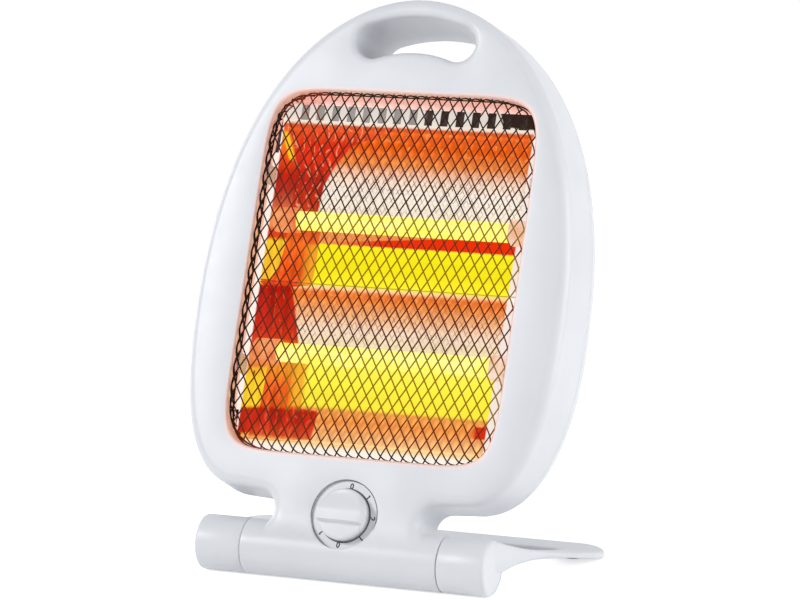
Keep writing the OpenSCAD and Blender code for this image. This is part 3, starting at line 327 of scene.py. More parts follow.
@dataclass(frozen=True)
class GlowPicture:
    """Colours in which the lit reflectors show, by place: painted light, the tubes' glow and its
    reflections in the polished sheet.

    Two places are worked out from the object's coordinates: `up` is the height at which the line
    of sight through a point meets a plane behind the tubes, and `across` the same sideways. Both
    are plain sums of the three coordinates: plane is that plane's depth, and drop and shift are
    what a millimetre of depth takes from the height and adds across.

    Main and side are the colours of the painted reflections in the troughs and on the red left
    end, by height, edge is where that end stops, reflection is the share of the guard's fine
    painted reflection and the table after it that of its blurred painted reflection. Slope is
    how steeply the guard's two ways climb.
    """

    plane: float = 14.0
    drop: float = 0.23
    shift: float = 0.395
    low: float = 56.0
    high: float = 290.0
    slope: float = 1.68
    main: tuple[tuple[float, str], ...] = (
        (56, "#FFFBF6"), (66.2, "#FFF3E4"), (67.8, "#FCDDA0"), (70.2, "#F6BC80"),
        (80, "#F79848"), (88.8, "#F89E4E"), (90.4, "#FFEE3E"), (104, "#FFF440"),
        (114, "#FFF854"), (120, "#FFF874"), (126, "#FDF4A0"), (130, "#FAE4B9"),
        (139, "#FDE4C8"), (149, "#FAB880"), (158, "#F6893A"), (163.6, "#F2702A"),
        (165.2, "#FCC690"), (166.6, "#FBD688"), (168, "#FEEE24"), (180, "#FCEC18"),
        (192.8, "#FDF01C"), (194.2, "#F59A50"), (201.6, "#F79450"), (202.6, "#FBE6CC"),
        (216, "#FDEFD8"), (227, "#FDF2E4"), (236, "#FCE2CA"), (246, "#F58E45"),
        (256, "#F2610F"), (268.9, "#E65E1E"), (270.2, "#F9EBD9"), (276, "#E4DBD3"))
    side: tuple[tuple[float, str], ...] = (
        (56, "#FFFBF6"), (67.0, "#FFF4E6"), (68.2, "#F7B45A"), (70.6, "#DC4A24"),
        (79, "#CC2A14"), (86.4, "#C6250F"), (88.4, "#F6601C"), (100, "#FA6420"),
        (112, "#F69628"), (118, "#F69A2A"), (128, "#F6701E"), (131, "#E03A16"),
        (143, "#C42A14"), (158, "#C8200C"), (164.4, "#A8140A"), (167, "#F24A14"),
        (180, "#F85F1A"), (192, "#FC701F"), (195, "#E8601E"), (201, "#EE5A20"),
        (207, "#E24A24"), (218, "#D23A1C"), (228, "#C02A18"), (236, "#C02A1A"),
        (246, "#E8361A"), (256, "#E22E12"), (268.9, "#E85A28"), (270.2, "#F9EBD9"),
        (276, "#E4DBD3"))
    edge: tuple[tuple[float, float], ...] = (
        (56, -100), (68, -100), (69, -42), (87, -40), (88, -52), (114, -55.5), (128, -60),
        (146, -64.5), (164.8, -69.4), (166.4, -57), (200, -57), (211, -60.6), (218, -60.2),
        (231, -58.9), (244, -52.9), (256.7, -43.3), (264, -26), (269.5, -8), (270.2, -100))
    reflection: tuple[tuple[float, float], ...] = (
        (56, 0.0), (128, 0.0), (132, 0.6), (148, 0.9), (160, 0.4), (164, 0.0), (194, 0.0),
        (196, 0.4), (206, 0.6), (214, 0.6), (236, 1.0), (246, 0.6), (258, 0.1), (268, 0.0))
    blurred_reflection: tuple[tuple[float, float], ...] = (
        (56, 0.0), (68, 0.0), (72, 1.0), (88, 1.0), (90, 0.0), (140, 0.1), (156, 0.8), (164, 1.0),
        (166, 0.0), (230, 0.0), (244, 0.7), (256, 1.0), (268, 1.0), (269.6, 0.0))
    areas: tuple[Area, ...] = (
        # Painted glow: the wedge under the upper tube climbs and reddens towards the right.
        Area("#FA9A58", ((-0.083, 1, 199.0, 198.3), (0, 1, 193.0, 193.8), (1, 0, -58, -57))),
        Area("#EE3008", ((-0.083, 1, 199.0, 198.3), (0, 1, 193.0, 193.8), (1, 0, -58, -16),
                         (1, 0, 75.6, 75.0))),
        # Painted reflection: the left end mirrors the tubes' yellow into its own orange.
        Area("#F9A02C", ((1, 0, -66, -60), (0, 1, 166.2, 167.4), (0, 1, 193, 191),
                         (1, 0, -56, -57))),
        Area("#FBB030", ((1, 0, -62, -58), (0, 1, 88.4, 90), (0, 1, 128, 124), (1, 0, -50, -54))),
        # Painted shade of a gap in the flange, and a painted red reflection low on the right.
        Area("#33221A", ((1, 0.41, 167.6, 168.6), (1, 0, 78, 77.2), (0.05, 1, 275.6, 276.4))),
        Area("#D92A10", ((1, 0, 61.5, 66), (0, 1, 86, 85), (0, 1, 77.6, 78.6), (1, 0.3, 99, 98),
                         (1, -1.2, -38, -36))),
        # Right of the mirrored picture the end plate is painted pale with the glow.
        Area("#F7E8DF", ((1, -0.02, 70.4, 71.2), (0, 1, 271.0, 270.2), (0, 1, 64, 66))))

    def places(self, tree: Tree) -> tuple[Socket, Socket, Socket]:
        """The places across and up, in millimetres.

        Args:
            tree: the node tree.

        Returns:
            The socket of both as a vector, then each on its own.
        """
        s, c = math.sin(PANEL.lean), math.cos(PANEL.lean)
        y0, z0 = PANEL.hinge
        point = add_node(tree, "TexCoord", take="Object")
        found = []
        for x, back, up in ((1.0, self.shift, 0.0), (0.0, -self.drop, 1.0)):
            row = (x, back * c + up * s, up * c - back * s)
            start = (row[1] * y0 + row[2] * z0) / MM + back * self.plane
            along = add_node(tree, "VectorMath", {0: point, 1: tuple(r / MM for r in row)},
                             take="Value", operation="DOT_PRODUCT")
            found.append(add_node(tree, "Math", {0: along, 1: start}, operation="SUBTRACT"))
        return add_node(tree, "CombineXYZ", {0: found[0], 1: found[1]}), *found

    def by_height(self, tree: Tree, up: Socket, stops: tuple) -> Socket:
        """A colour or a number by height.

        Args:
            tree: the node tree.
            up: the height's socket.
            stops: millimetres with hex codes, or with numbers from nought to one.

        Returns:
            The colour's socket.
        """
        spot = add_node(tree, "MapRange", {0: up, 1: self.low, 2: self.high})
        return add_node(tree, "ValToRGB", {0: spot}, [
            ((mm - self.low) / (self.high - self.low),
             linear(value) if isinstance(value, str) else (value, value, value, 1.0))
            for mm, value in stops])

    def net(self, tree: Tree, place: Socket, pitch: float, none: float, full: float,
            kind: Lattice) -> Socket:
        """A lattice along the guard's two ways.

        Each way is a sum of across and up that counts to and fro between nought and the pitch.

        Args:
            tree: the node tree.
            place: across and up as a vector.
            pitch: millimetres from one line to the middle between two, measured upwards.
            none: distance from a line at which nothing shows.
            full: distance from it at which all shows.
            kind: what the two ways make together.

        Returns:
            The share's socket.
        """
        shares = []
        for slope in (self.slope, -self.slope):
            line = add_node(tree, "VectorMath", {0: place, 1: (slope, 1.0, 0.0)}, take="Value",
                            operation="DOT_PRODUCT")
            near = add_node(tree, "Math", {0: line, 1: pitch}, operation="PINGPONG")
            shares.append(add_node(tree, "MapRange", {0: near, 1: none, 2: full}))
        return add_node(tree, "Math", {0: shares[0], 1: shares[1]}, operation=kind.value)

    def drawn(self, tree: Tree, colour: Socket, place: Socket, scale: tuple[float, float],
              depth: float) -> Socket:
        """Lightens and darkens a colour by noise drawn out along one way.

        Args:
            tree: the node tree.
            colour: the colour's socket.
            place: across and up as a vector.
            scale: waves in a millimetre across and up.
            depth: how much of the colour is taken away at most.

        Returns:
            The new colour's socket.
        """
        spot = add_node(tree, "VectorMath", {0: place, 1: (*scale, 0.0)}, operation="MULTIPLY")
        value = add_node(tree, "TexNoise", {"Vector": spot, "Scale": 1.0, "Detail": 2.0})
        level = add_node(tree, "MapRange", {0: value, 1: 0.3, 2: 0.7, 3: 1.0 - depth,
                                            4: 1.0 + depth * 0.5})
        return add_node(tree, "VectorMath", {0: colour, 1: level}, operation="MULTIPLY")

    def laid(self, tree: Tree, colour: Socket, place: Socket, areas: tuple[Area, ...]) -> Socket:
        """Lays areas over a colour, one after the other: an area's share is its edges' product.

        Args:
            tree: the node tree.
            colour: the colour's socket.
            place: across and up as a vector.
            areas: what is laid, the lowest first.

        Returns:
            The new colour's socket.
        """
        for area in areas:
            share: Socket | float = 1.0
            for x, y, none, full in area.edges:
                line = add_node(tree, "VectorMath", {0: place, 1: (x, y, 0.0)}, take="Value",
                                operation="DOT_PRODUCT")
                part = add_node(tree, "MapRange", {0: line, 1: none, 2: full})
                share = add_node(tree, "Math", {0: share, 1: part}, operation="MULTIPLY")
            colour = add_node(tree, "Mix", {0: share, 6: colour, 7: linear(area.colour)}, take=2,
                              data_type="RGBA")
        return colour

    def bands(self, tree: Tree, place: Socket, up: Socket, cloud: Socket) -> Socket:
        """The painted reflections along the troughs: bands of the tubes' glow, with the guard's two
        reflected images in them.

        Args:
            tree: the node tree.
            place: across and up as a vector.
            up: the height's socket.
            cloud: noise that breaks the images up.

        Returns:
            The colour's socket.
        """
        colour = self.drawn(tree, self.by_height(tree, up, self.main), place, (0.012, 0.2), 0.05)
        # Painted reflection: diamonds of the guard's blurred image, lighter in their middles, in
        # the orange bands, with brighter painted patches in them.
        diamonds = self.net(tree, place, 6.05, 0.5, 5.0, Lattice.DIAMONDS)
        level = add_node(tree, "MapRange", {0: diamonds, 3: 0.86, 4: 1.34})
        lit = add_node(tree, "VectorMath", {0: colour, 1: level}, operation="MULTIPLY")
        reflection_patch = add_node(tree, "MapRange", {0: cloud, 1: 0.58, 2: 0.7, 4: 0.6})
        lit = add_node(tree, "Mix", {0: reflection_patch, 6: lit, 7: linear("#FBB25E")}, take=2,
                       data_type="RGBA")
        colour = add_node(tree, "Mix", {0: self.by_height(tree, up, self.blurred_reflection), 6: colour,
                                        7: lit}, take=2, data_type="RGBA")
        # Painted reflection: fine lines of the guard's second image in the pale bands.
        share = self.net(tree, place, 2.9, 0.62, 0.3, Lattice.LINES)
        patchy = add_node(tree, "MapRange", {0: cloud, 1: 0.42, 2: 0.56, 3: 1.0, 4: 0.2})
        for part in (patchy, self.by_height(tree, up, self.reflection)):
            share = add_node(tree, "Math", {0: share, 1: part}, operation="MULTIPLY")
        return add_node(tree, "Mix", {0: share, 6: colour, 7: linear("#8C5238")}, take=2,
                        data_type="RGBA")

    def left_end(self, tree: Tree, place: Socket, up: Socket, cloud: Socket) -> Socket:
        """The red left end, a painted reflection, with broken painted highlights down it that waver
        with the height.

        Args:
            tree: the node tree.
            place: across and up as a vector.
            up: the height's socket.
            cloud: noise that breaks the lines up.

        Returns:
            The colour's socket.
        """
        colour = self.drawn(tree, self.by_height(tree, up, self.side), place, (0.3, 0.03), 0.35)
        # Painted highlights: thin pale lines down the red end, broken up by the noise.
        across = add_node(tree, "SeparateXYZ", {0: place})
        waver = add_node(tree, "TexNoise", {"Vector": place, "Scale": 0.07, "Detail": 1.0})
        line = add_node(tree, "Math", {0: waver, 1: 16.0, 2: across}, operation="MULTIPLY_ADD")
        near = add_node(tree, "Math", {0: line, 1: 2.7}, operation="PINGPONG")
        share = add_node(tree, "MapRange", {0: near, 1: 0.7, 2: 0.25})
        broken = add_node(tree, "MapRange", {0: cloud, 1: 0.46, 2: 0.56, 4: 0.75})
        high = add_node(tree, "MapRange", {0: up, 1: 196.0, 2: 204.0, 3: 0.25})
        for part in (broken, high):
            share = add_node(tree, "Math", {0: share, 1: part}, operation="MULTIPLY")
        return add_node(tree, "Mix", {0: share, 6: colour, 7: linear("#F8A878")}, take=2,
                        data_type="RGBA")

    def colours(self, tree: Tree) -> tuple[Socket, Socket, Socket]:
        """The whole picture: the bands, the left end as far as the edge table says, the areas.

        Args:
            tree: the node tree.

        Returns:
            Sockets of the colour, of both places as a vector, and of the height.
        """
        place, across, up = self.places(tree)
        cloud = add_node(tree, "TexNoise", {"Vector": place, "Scale": 0.22, "Detail": 3.0})
        colour = self.bands(tree, place, up, cloud)
        side = self.left_end(tree, place, up, cloud)
        # A ramp holds numbers from nought to one, so places from -100 to 100 are kept as shares.
        edge = self.by_height(tree, up, tuple((mm, (q + 100) / 200) for mm, q in self.edge))
        limit = add_node(tree, "Math", {0: edge, 1: 200.0, 2: -100.0}, operation="MULTIPLY_ADD")
        inside = add_node(tree, "Math", {0: limit, 1: across}, operation="SUBTRACT")
        left = add_node(tree, "MapRange", {0: inside, 1: -0.6, 2: 0.6})
        colour = add_node(tree, "Mix", {0: left, 6: colour, 7: side}, take=2, data_type="RGBA")
        return self.laid(tree, colour, place, self.areas), place, up


@dataclass(frozen=True)
class LitSheet(Finish):
    """Polished aluminium sheet of the troughs and end plates, lit by the tubes.

    The mirror finish shows the eye the tubes as flat bands of colour, so their reflection is
    painted: the sheet emits the picture as painted light on the side that faces the tubes,
    over a near-black base, and is a plain bright rolled sheet behind.
    """

    face: tuple[float, float, float] = (0.0, -0.93, 0.37)
    patch: tuple[tuple[float, str], ...] = ()
    areas: tuple[Area, ...] = ()

    def material(self) -> bpy.types.Material:
        """The sheet, with the painted reflection glowing on its lit side.

        Returns:
            The new material.
        """
        material, tree, shader = self.begin()
        picture = GlowPicture()
        colour, place, up = picture.colours(tree)
        if self.patch:
            own = picture.drawn(tree, picture.by_height(tree, up, self.patch), place,
                                (0.3, 0.03), 0.2)
            colour = picture.laid(tree, own, place, self.areas)
        normal = add_node(tree, "NewGeometry", take="Normal")
        facing = add_node(tree, "VectorMath", {0: normal, 1: self.face}, take="Value",
                          operation="DOT_PRODUCT")
        lit = add_node(tree, "MapRange", {0: facing, 1: -0.08, 2: 0.02})
        # Painted reflection of the tubes, emitted on the side that faces them.
        tree.links.new(colour, shader.inputs["Emission Color"])
        tree.links.new(lit, shader.inputs["Emission Strength"])
        # Rolling lines run along the sheet. Real ones are finer; these are coarse enough to show.
        _, base = Grain(1.6, "#A4A6A8", self.colour, 2.0, (0.05, 1.0, 1.0), 0.05, 0.05
                        ).lay(tree, shader)
        # Where the painted reflection shows, the base is near black.
        dark = add_node(tree, "Mix", {0: lit, 6: base, 7: linear("#080504")}, take=2,
                        data_type="RGBA")
        tree.links.new(dark, shader.inputs["Base Color"])
        shader.inputs["Metallic"].default_value = 1.0
        return material


@dataclass(frozen=True)
class LitQuartz(Finish):
    """Frosted quartz tube, drawn and etched, with a wound wire glowing inside.

    It gives the eye an even pale yellow with a soft ribbing: the turns of the wire.
    """

    pitch_mm: float = 2.4

    def material(self) -> bpy.types.Material:
        """The lit tube: a sine along it has one wave in each turn of the wire.

        Returns:
            The new material.
        """
        material, tree, shader = self.begin()
        place = add_node(tree, "TexCoord", take="Object")
        across = add_node(tree, "SeparateXYZ", {0: place})
        wave = add_node(tree, "Math", {0: across, 1: 2 * math.pi / (self.pitch_mm * MM)},
                        operation="MULTIPLY")
        turn = add_node(tree, "Math", {0: wave}, operation="SINE")
        rib = add_node(tree, "MapRange", {0: turn, 1: -1.0, 3: 0.35, 4: 0.65})
        along = add_node(tree, "Mapping", {0: place, 3: (0.4, 1.0, 1.0)})
        cloud = add_node(tree, "TexNoise", {"Vector": along, "Scale": 1 / (9.0 * MM),
                                            "Detail": 2.0})
        mixed = add_node(tree, "Math", {0: rib, 1: cloud}, operation="MULTIPLY")
        soft = add_node(tree, "MapRange", {0: mixed, 1: 0.1, 2: 0.4})
        colour = add_node(tree, "ValToRGB", {0: soft},
                          [(0.3, linear("#FFF65A")), (0.7, linear("#FFFA94"))])
        tree.links.new(colour, shader.inputs["Emission Color"])
        shader.inputs["Emission Strength"].default_value = 1.0
        bump = add_node(tree, "Bump", {"Strength": 0.1, "Distance": 0.05 * MM, "Height": rib})
        tree.links.new(bump, shader.inputs["Normal"])
        return material


@dataclass(frozen=True)
class GlowingCeramic(Finish):
    """Steatite, pressed and fired without a glaze, with a painted glow where the tube lights it.

    It gives the eye a matt orange without any shine, a little darker in clouds: on the caps
    this is painted light, the tube's light on them, emitted in two colours.
    """

    glow_high: str = "#EC6A34"
    glow_low: str = "#D93A12"
    cloud_mm: float = 7.0
    speck_mm: float = 0.8

    def material(self) -> bpy.types.Material:
        """The cap with a painted glow over a speckled fired skin.

        Returns:
            The new material.
        """
        material, tree, shader = self.begin()
        # Painted glow: two colours in clouds, emitted.
        _, glow = Grain(self.cloud_mm, self.glow_low, self.glow_high, stretch=(1.0, 0.5, 1.0), relief=0.0
                        ).lay(tree, shader)
        tree.links.new(glow, shader.inputs["Emission Color"])
        shader.inputs["Emission Strength"].default_value = 0.95
        # The fired body's specks are finer than this in truth, and would not show.
        _, base = Grain(self.speck_mm, "#2A1E18", "#3C2E26", 4.0).lay(tree, shader)
        tree.links.new(base, shader.inputs["Base Color"])
        return material


@dataclass(frozen=True)
class SlotLightAndShade(Finish):
    """A sheet behind the flange's slots that paints what shows through them, drawn dull and
    flaky like pressed mica.

    It gives the eye painted light, pale grey slots, on the left and painted shade on the right.
    """

    shade: tuple[tuple[float, str], ...] = ((0.0, "#A39A94"), (0.3, "#B0A6A0"), (0.52, "#A59B94"),
                                            (0.55, "#3A2A24"), (1.0, "#2E201A"))

    def material(self) -> bpy.types.Material:
        """The sheet, whose painted light and shade follow the place across.

        Returns:
            The new material.
        """
        material, tree, shader = self.begin()
        place = add_node(tree, "TexCoord", take="Object")
        across = add_node(tree, "SeparateXYZ", {0: place})
        # Painted light on the left and painted shade on the right, emitted by the place across.
        spot = add_node(tree, "MapRange", {0: across, 1: -0.086, 2: 0.086})
        tone = add_node(tree, "ValToRGB", {0: spot}, [(at, linear(c)) for at, c in self.shade])
        tree.links.new(tone, shader.inputs["Emission Color"])
        shader.inputs["Emission Strength"].default_value = 0.8
        # Flakes of mica are about 3 mm wide.
        _, base = Grain(3.0, "#2A2420", "#3C3430").lay(tree, shader)
        tree.links.new(base, shader.inputs["Base Color"])
        return material


@dataclass(frozen=True)
class EnamelledWire(Finish):
    """Steel wire, dipped in black-brown enamel and fired.

    It gives the eye dark strands with a painted glow over them: the glow behind eats into
    them band by band.
    """

    share: tuple[tuple[float, str], ...] = (
        (56, "#1E1410"), (67, "#241510"), (70, "#5A1E08"), (88, "#6A2408"), (91, "#8A6404"),
        (116, "#8E6A06"), (120, "#8C7018"), (128, "#7E6018"), (131, "#4A2416"),
        (146, "#5A1C0E"), (163, "#641604"), (166, "#7A4A10"), (169, "#8A6A04"),
        (191, "#8A6A04"), (194, "#701E06"), (200, "#701E06"), (203, "#8C7018"),
        (213, "#867018"), (216, "#24120C"), (230, "#2C140A"), (240, "#5A1604"),
        (262, "#5A1404"), (268, "#34160C"), (271, "#1A100C"), (290, "#18100C"))

    def material(self) -> bpy.types.Material:
        """The dark enamel with the glow's bleed painted over the lit bands as emission.

        Returns:
            The new material.
        """
        material, tree, shader = self.begin()
        picture = GlowPicture()
        _, across, up = picture.places(tree)
        inner = add_node(tree, "Math", {0: across}, operation="ABSOLUTE")
        fade = add_node(tree, "MapRange", {0: inner, 1: 94.0, 2: 84.0, 4: 1.0})
        side = add_node(tree, "MapRange", {0: across, 1: -60.0, 2: -66.0})
        # Painted glow bleed: the lit bands' colours by height, a darker red on the left end.
        glow_bleed = add_node(tree, "Mix", {0: side, 6: picture.by_height(tree, up, self.share),
                                      7: linear("#5E1A08")}, take=2, data_type="RGBA")
        tree.links.new(glow_bleed, shader.inputs["Emission Color"])
        tree.links.new(fade, shader.inputs["Emission Strength"])
        shader.inputs["Specular IOR Level"].default_value = 0.1
        # Dipped enamel ripples along a wire every millimetre or so.
        _, base = Grain(1.4, "#0A0706", self.colour, relief=0.3, depth_mm=0.08).lay(tree, shader)
        tree.links.new(base, shader.inputs["Base Color"])
        return material


@dataclass(frozen=True)
class PlatedMetal(Finish):
    """Zinc-plated or plain metal, drawn or stamped.

    It gives the eye a dull shine, broken a little by the plating's crystals.
    """

    grain_mm: float = 1.2
    dark: str = "#7F8184"

    def material(self) -> bpy.types.Material:
        """The metal, rougher where its grain is light.

        Returns:
            The new material.
        """
        material, tree, shader = self.begin()
        # The plating's crystals are far finer than this; they are coarse enough to show.
        grain, base = Grain(self.grain_mm, self.dark, self.colour, stretch=(1.0, 1.0, 0.4),
                            relief=0.12, depth_mm=0.05).lay(tree, shader)
        tree.links.new(base, shader.inputs["Base Color"])
        rough = add_node(tree, "MapRange", {0: grain, 3: self.roughness - 0.08,
                                            4: self.roughness + 0.1})
        tree.links.new(rough, shader.inputs["Roughness"])
        shader.inputs["Metallic"].default_value = 1.0
        return material


@dataclass(frozen=True)
class SoftSkin(Finish):
    """Matt moulding, rubber, print or woven sheath: one colour with a darker grain to it."""

    dark: str = "#101011"
    grain_mm: float = 0.6
    depth_mm: float = 0.05
    weave: tuple[float, float, float] = (1.0, 1.0, 1.0)

    def material(self) -> bpy.types.Material:
        """The matt surface.

        Returns:
            The new material.
        """
        material, tree, shader = self.begin()
        # Grain, threads and print are all finer than this; they are coarse enough to show.
        _, base = Grain(self.grain_mm, self.dark, self.colour, stretch=self.weave, relief=0.25,
                        depth_mm=self.depth_mm).lay(tree, shader)
        tree.links.new(base, shader.inputs["Base Color"])
        return material


class Finishes:
    """Every finish of the heater, made into a material the first time that it is asked for."""

    # White ABS: the casing a little greyer than the knob, which is polished and so shines more.
    # The casing's glow is painted light round the window.
    casing = MouldedWhite("white_abs_casing", "#E2E4E7", 0.36, dark="#DDDFE2", glow="#FBDDD6")
    stand = MouldedWhite("white_abs_stand", "#E3E5E8", 0.38, dark="#DEE0E3")
    knob = MouldedWhite("white_abs_knob", "#E8E9EC", 0.3, dark="#E3E4E7", skin_mm=0.8)
    # Polished aluminium with painted reflections: the troughs' bands, and on the left end plate
    # their turned image.
    trough = LitSheet("polished_aluminium_lit", "#C2C4C6", 0.3)
    left_plate = LitSheet("polished_aluminium_left_end", "#C2C4C6", 0.3, face=(0.7, -0.66, 0.26),
                          patch=((56, "#FFF3EA"), (66, "#FFF3EA"), (67.2, "#FBC052"),
                                 (70.4, "#FAB04A"), (71.6, "#C82A14"), (86.4, "#C42C16"),
                                 (88.4, "#FED62E"), (104, "#F9D42E"), (111.6, "#F4B42C"),
                                 (113.6, "#E4803A"), (122, "#F0935A"), (126, "#EE8A50"),
                                 (129, "#DA4020"), (140, "#CA2A1C"), (164.6, "#B41E12"),
                                 (166.6, "#FDC836"), (180, "#F9C42C"), (193.6, "#FBD42E"),
                                 (195.4, "#DC4A1C"), (200, "#DA3418"), (203, "#F08A48"),
                                 (212, "#E88A50"), (216, "#D06040"), (226, "#B43222"),
                                 (236, "#C0200E"), (246, "#EA4A1A"), (256, "#EE7A26"),
                                 (268.9, "#D25A3A"), (270.2, "#F6E6DC"), (276, "#D8C8BE")),
                          areas=(Area("#FFF3EA", ((1, 0, -90.2, -91.0),)),
                                 Area("#FFC81E", ((1, 0.36, 3.2, 4.4), (1, 0.36, 8.0, 6.8),
                                                  (0, 1, 245, 247), (0, 1, 265, 262)))))
    right_plate = LitSheet("polished_aluminium_right_end", "#C2C4C6", 0.3,
                           face=(-0.7, -0.66, 0.26))
    # Quartz and the wire in it: the two brightest, evenest yellows.
    quartz = LitQuartz("frosted_quartz_lit", "#5A4A20", 0.35)
    glowing_wire = GlowingCeramic("resistance_wire", "#5A2A10", 0.7, glow_high="#FFB040", glow_low="#FF8A20")
    # Black enamel: dark strands with a painted glow that turns them brown before the lit bands.
    wire = EnamelledWire("black_enamel_wire", "#1C0F0A", 0.5)
    # Steatite: matt caps with a painted glow, orange on the left and pale on the right; a cold
    # cream block behind.
    ceramic = GlowingCeramic("steatite_left_cap", "#6E5C50", 0.8, glow_high="#FAA868", glow_low="#EC6C34")
    far_ceramic = GlowingCeramic("steatite_right_cap", "#6E5C50", 0.8, glow_high="#FBE0CE", glow_low="#F2AC84")
    porcelain = SoftSkin("steatite_block", "#D9D2C4", 0.75, dark="#C4BBAA", grain_mm=1.0)
    # Painted light and shade that show through the upper flange's slots.
    slot_light_and_shade = SlotLightAndShade("painted_slot_light_and_shade", "#B5ACA5", 0.9)
    # Plated steel and bare brass: bluish grey and yellow, both dull.
    steel = PlatedMetal("zinc_plated_steel", "#B9BBBE", 0.36)
    brass = PlatedMetal("plain_brass", "#C9A55A", 0.34, dark="#9C7C3C")
    # Moulded phenolic and rubber: two blacks, the rubber without any shine.
    black = SoftSkin("black_phenolic", "#1B1B1D", 0.62)
    rubber = SoftSkin("black_rubber", "#191919", 0.85, dark="#0E0E0E", grain_mm=0.4)
    # Woven glass sheaths: dull brown and blue, with threads that run up and down.
    brown = SoftSkin("brown_glass_sheath", "#6A2E18", 0.7, dark="#4A1E10", grain_mm=0.5,
                     weave=(1.0, 1.0, 0.5))
    blue = SoftSkin("blue_glass_sheath", "#1E3F86", 0.7, dark="#122A60", grain_mm=0.5,
                    weave=(1.0, 1.0, 0.5))
    # Painted shade in the narrow gaps of the dial, the white clips on the guard's rim, and the
    # printed numbers.
    gap = SoftSkin("painted_gap_shade", "#6A6D73", 0.8, dark="#5A5D63", grain_mm=1.0, depth_mm=0.01)
    clip = SoftSkin("white_enamelled_clip", "#FBF4EE", 0.4, dark="#F4EAE2", grain_mm=1.0)
    ink = SoftSkin("printed_ink", "#17171A", 0.55, dark="#0C0C0E", grain_mm=0.3, depth_mm=0.01)

    made: dict[str, bpy.types.Material] = {}

    @classmethod
    def get(cls, finish: Finish) -> bpy.types.Material:
        """The finish's material, made on first use."""
        if finish.name not in cls.made:
            cls.made[finish.name] = finish.material()
        return cls.made[finish.name]


class Skin:
    """Gathers grids and flat plates of one piece, in row metres, and welds them into a mesh."""

    def __init__(self) -> None:
        """Starts with nothing in it."""
        self.points: list[Array] = []
        self.faces: list[list] = []
        self.total = 0

    def add(self, points: Array, faces: Array) -> None:
        """Adds points (n, 3) and faces that number them from nought."""
        self.points.append(points)
        self.faces.extend((faces + self.total).tolist())
        self.total += len(points)

    def grid(self, points: Array, around: bool = False, keep: Array | None = None) -> None:
        """Adds a surface given as rows of points; neighbours along rows and columns make quads.

        Args:
            points: row metres, (rows, columns, 3).
            around: whether the last column meets the first.
            keep: which quads to keep, (rows - 1, columns or one less).
        """
        rows, cols = points.shape[:2]
        wide = cols if around else cols - 1
        r, c = np.meshgrid(np.arange(rows - 1), np.arange(wide), indexing="ij")
        here = r * cols + c
        right = r * cols + (c + 1) % cols
        quads = np.stack([here, here + cols, right + cols, right], -1)
        self.add(points.reshape(-1, 3), quads[keep] if keep is not None else quads.reshape(-1, 4))

    def plate(self, outline: Array, holes: list[Array], inner: Array,
              place: Callable[[Array, Array], Array]) -> None:
        """Adds a sheet that fills an outline apart from its holes, by constrained triangles.

        Args:
            outline: the closed outer edge, (n, 2) millimetres.
            holes: closed edges of the openings.
            inner: more points inside, which let a curved sheet bend.
            place: turns (across, up) arrays into row metres.
        """
        loops = [outline, *holes]
        sizes = [len(loop) for loop in loops]
        edges = np.concatenate([np.stack([np.arange(n), (np.arange(n) + 1) % n], 1) + start
                                for n, start in zip(sizes, np.cumsum([0] + sizes))])
        spots = np.concatenate([*loops, inner])
        made = delaunay_2d_cdt(spots.tolist(), edges.tolist(), [], 0, 1e-7)
        points = np.array([tuple(p) for p in made[0]])
        faces = np.array(made[2])
        middle = points[faces].mean(1)
        kept = within(middle, outline)
        for hole in holes:
            kept &= ~within(middle, hole)
        self.add(place(points[:, 0], points[:, 1]), faces[kept])

    def piece(self, name: str, body: Body, finish: Finish, slot: str,
              replaces: tuple[str, ...] = (), turn: bool = True, sharp: float = 38.0
              ) -> bpy.types.Object:
        """Makes the finished object: welded, smooth up to an angle, riding on its body.

        Args:
            name: the piece's name.
            body: the body that it rides on.
            finish: its finish.
            slot: the record's material slot; not used.
            replaces: CAD nodes that it stands for.
            turn: whether its faces are turned outward together.
            sharp: angle in degrees past which an edge stays crisp.

        Returns:
            The object.
        """
        mesh = bpy.data.meshes.new(name)
        mesh.from_pydata(np.concatenate(self.points).tolist(), [], self.faces)
        work = bmesh.new()
        work.from_mesh(mesh)
        bmesh.ops.remove_doubles(work, verts=work.verts, dist=2e-6)
        if turn:
            bmesh.ops.recalc_face_normals(work, faces=work.faces)
        work.to_mesh(mesh)
        work.free()
        mesh.polygons.foreach_set("use_smooth", np.ones(len(mesh.polygons), bool))
        mesh.set_sharp_from_angle(angle=math.radians(sharp))
        mesh.materials.append(Finishes.get(finish))
        made = bpy.data.objects.new(name, mesh)
        bpy.context.scene.collection.objects.link(made)
        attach(made, body.value)
        if replaces:
            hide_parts(*replaces)
        log.info("%s: %d faces on %s", name, len(mesh.polygons), body.value)
        return made


def within(points: Array, loop: Array) -> Array:
    """Which points lie inside a closed loop, by how often a level line from each crosses it.

    Args:
        points: (n, 2).
        loop: (m, 2).

    Returns:
        Booleans, (n,).
    """
    a, b = loop, np.roll(loop, -1, 0)
    x, y = points[:, :1], points[:, 1:]
    spans = (a[:, 1] > y) != (b[:, 1] > y)
    rise = np.where(b[:, 1] == a[:, 1], 1e-12, b[:, 1] - a[:, 1])
    cross = a[:, 0] + (y - a[:, 1]) * (b[:, 0] - a[:, 0]) / rise
    return (np.sum(spans & (x < cross), 1) % 2).astype(bool)


def cubic(points: tuple[tuple[float, float], ...] | list, t: Array) -> Array:
    """Points (n, 2) of the cubic curve with four control points, at shares t."""
    p = np.array(points, float)
    t = t[:, None]
    return ((1 - t) ** 3 * p[0] + 3 * (1 - t) ** 2 * t * p[1] + 3 * (1 - t) * t * t * p[2]
            + t ** 3 * p[3])


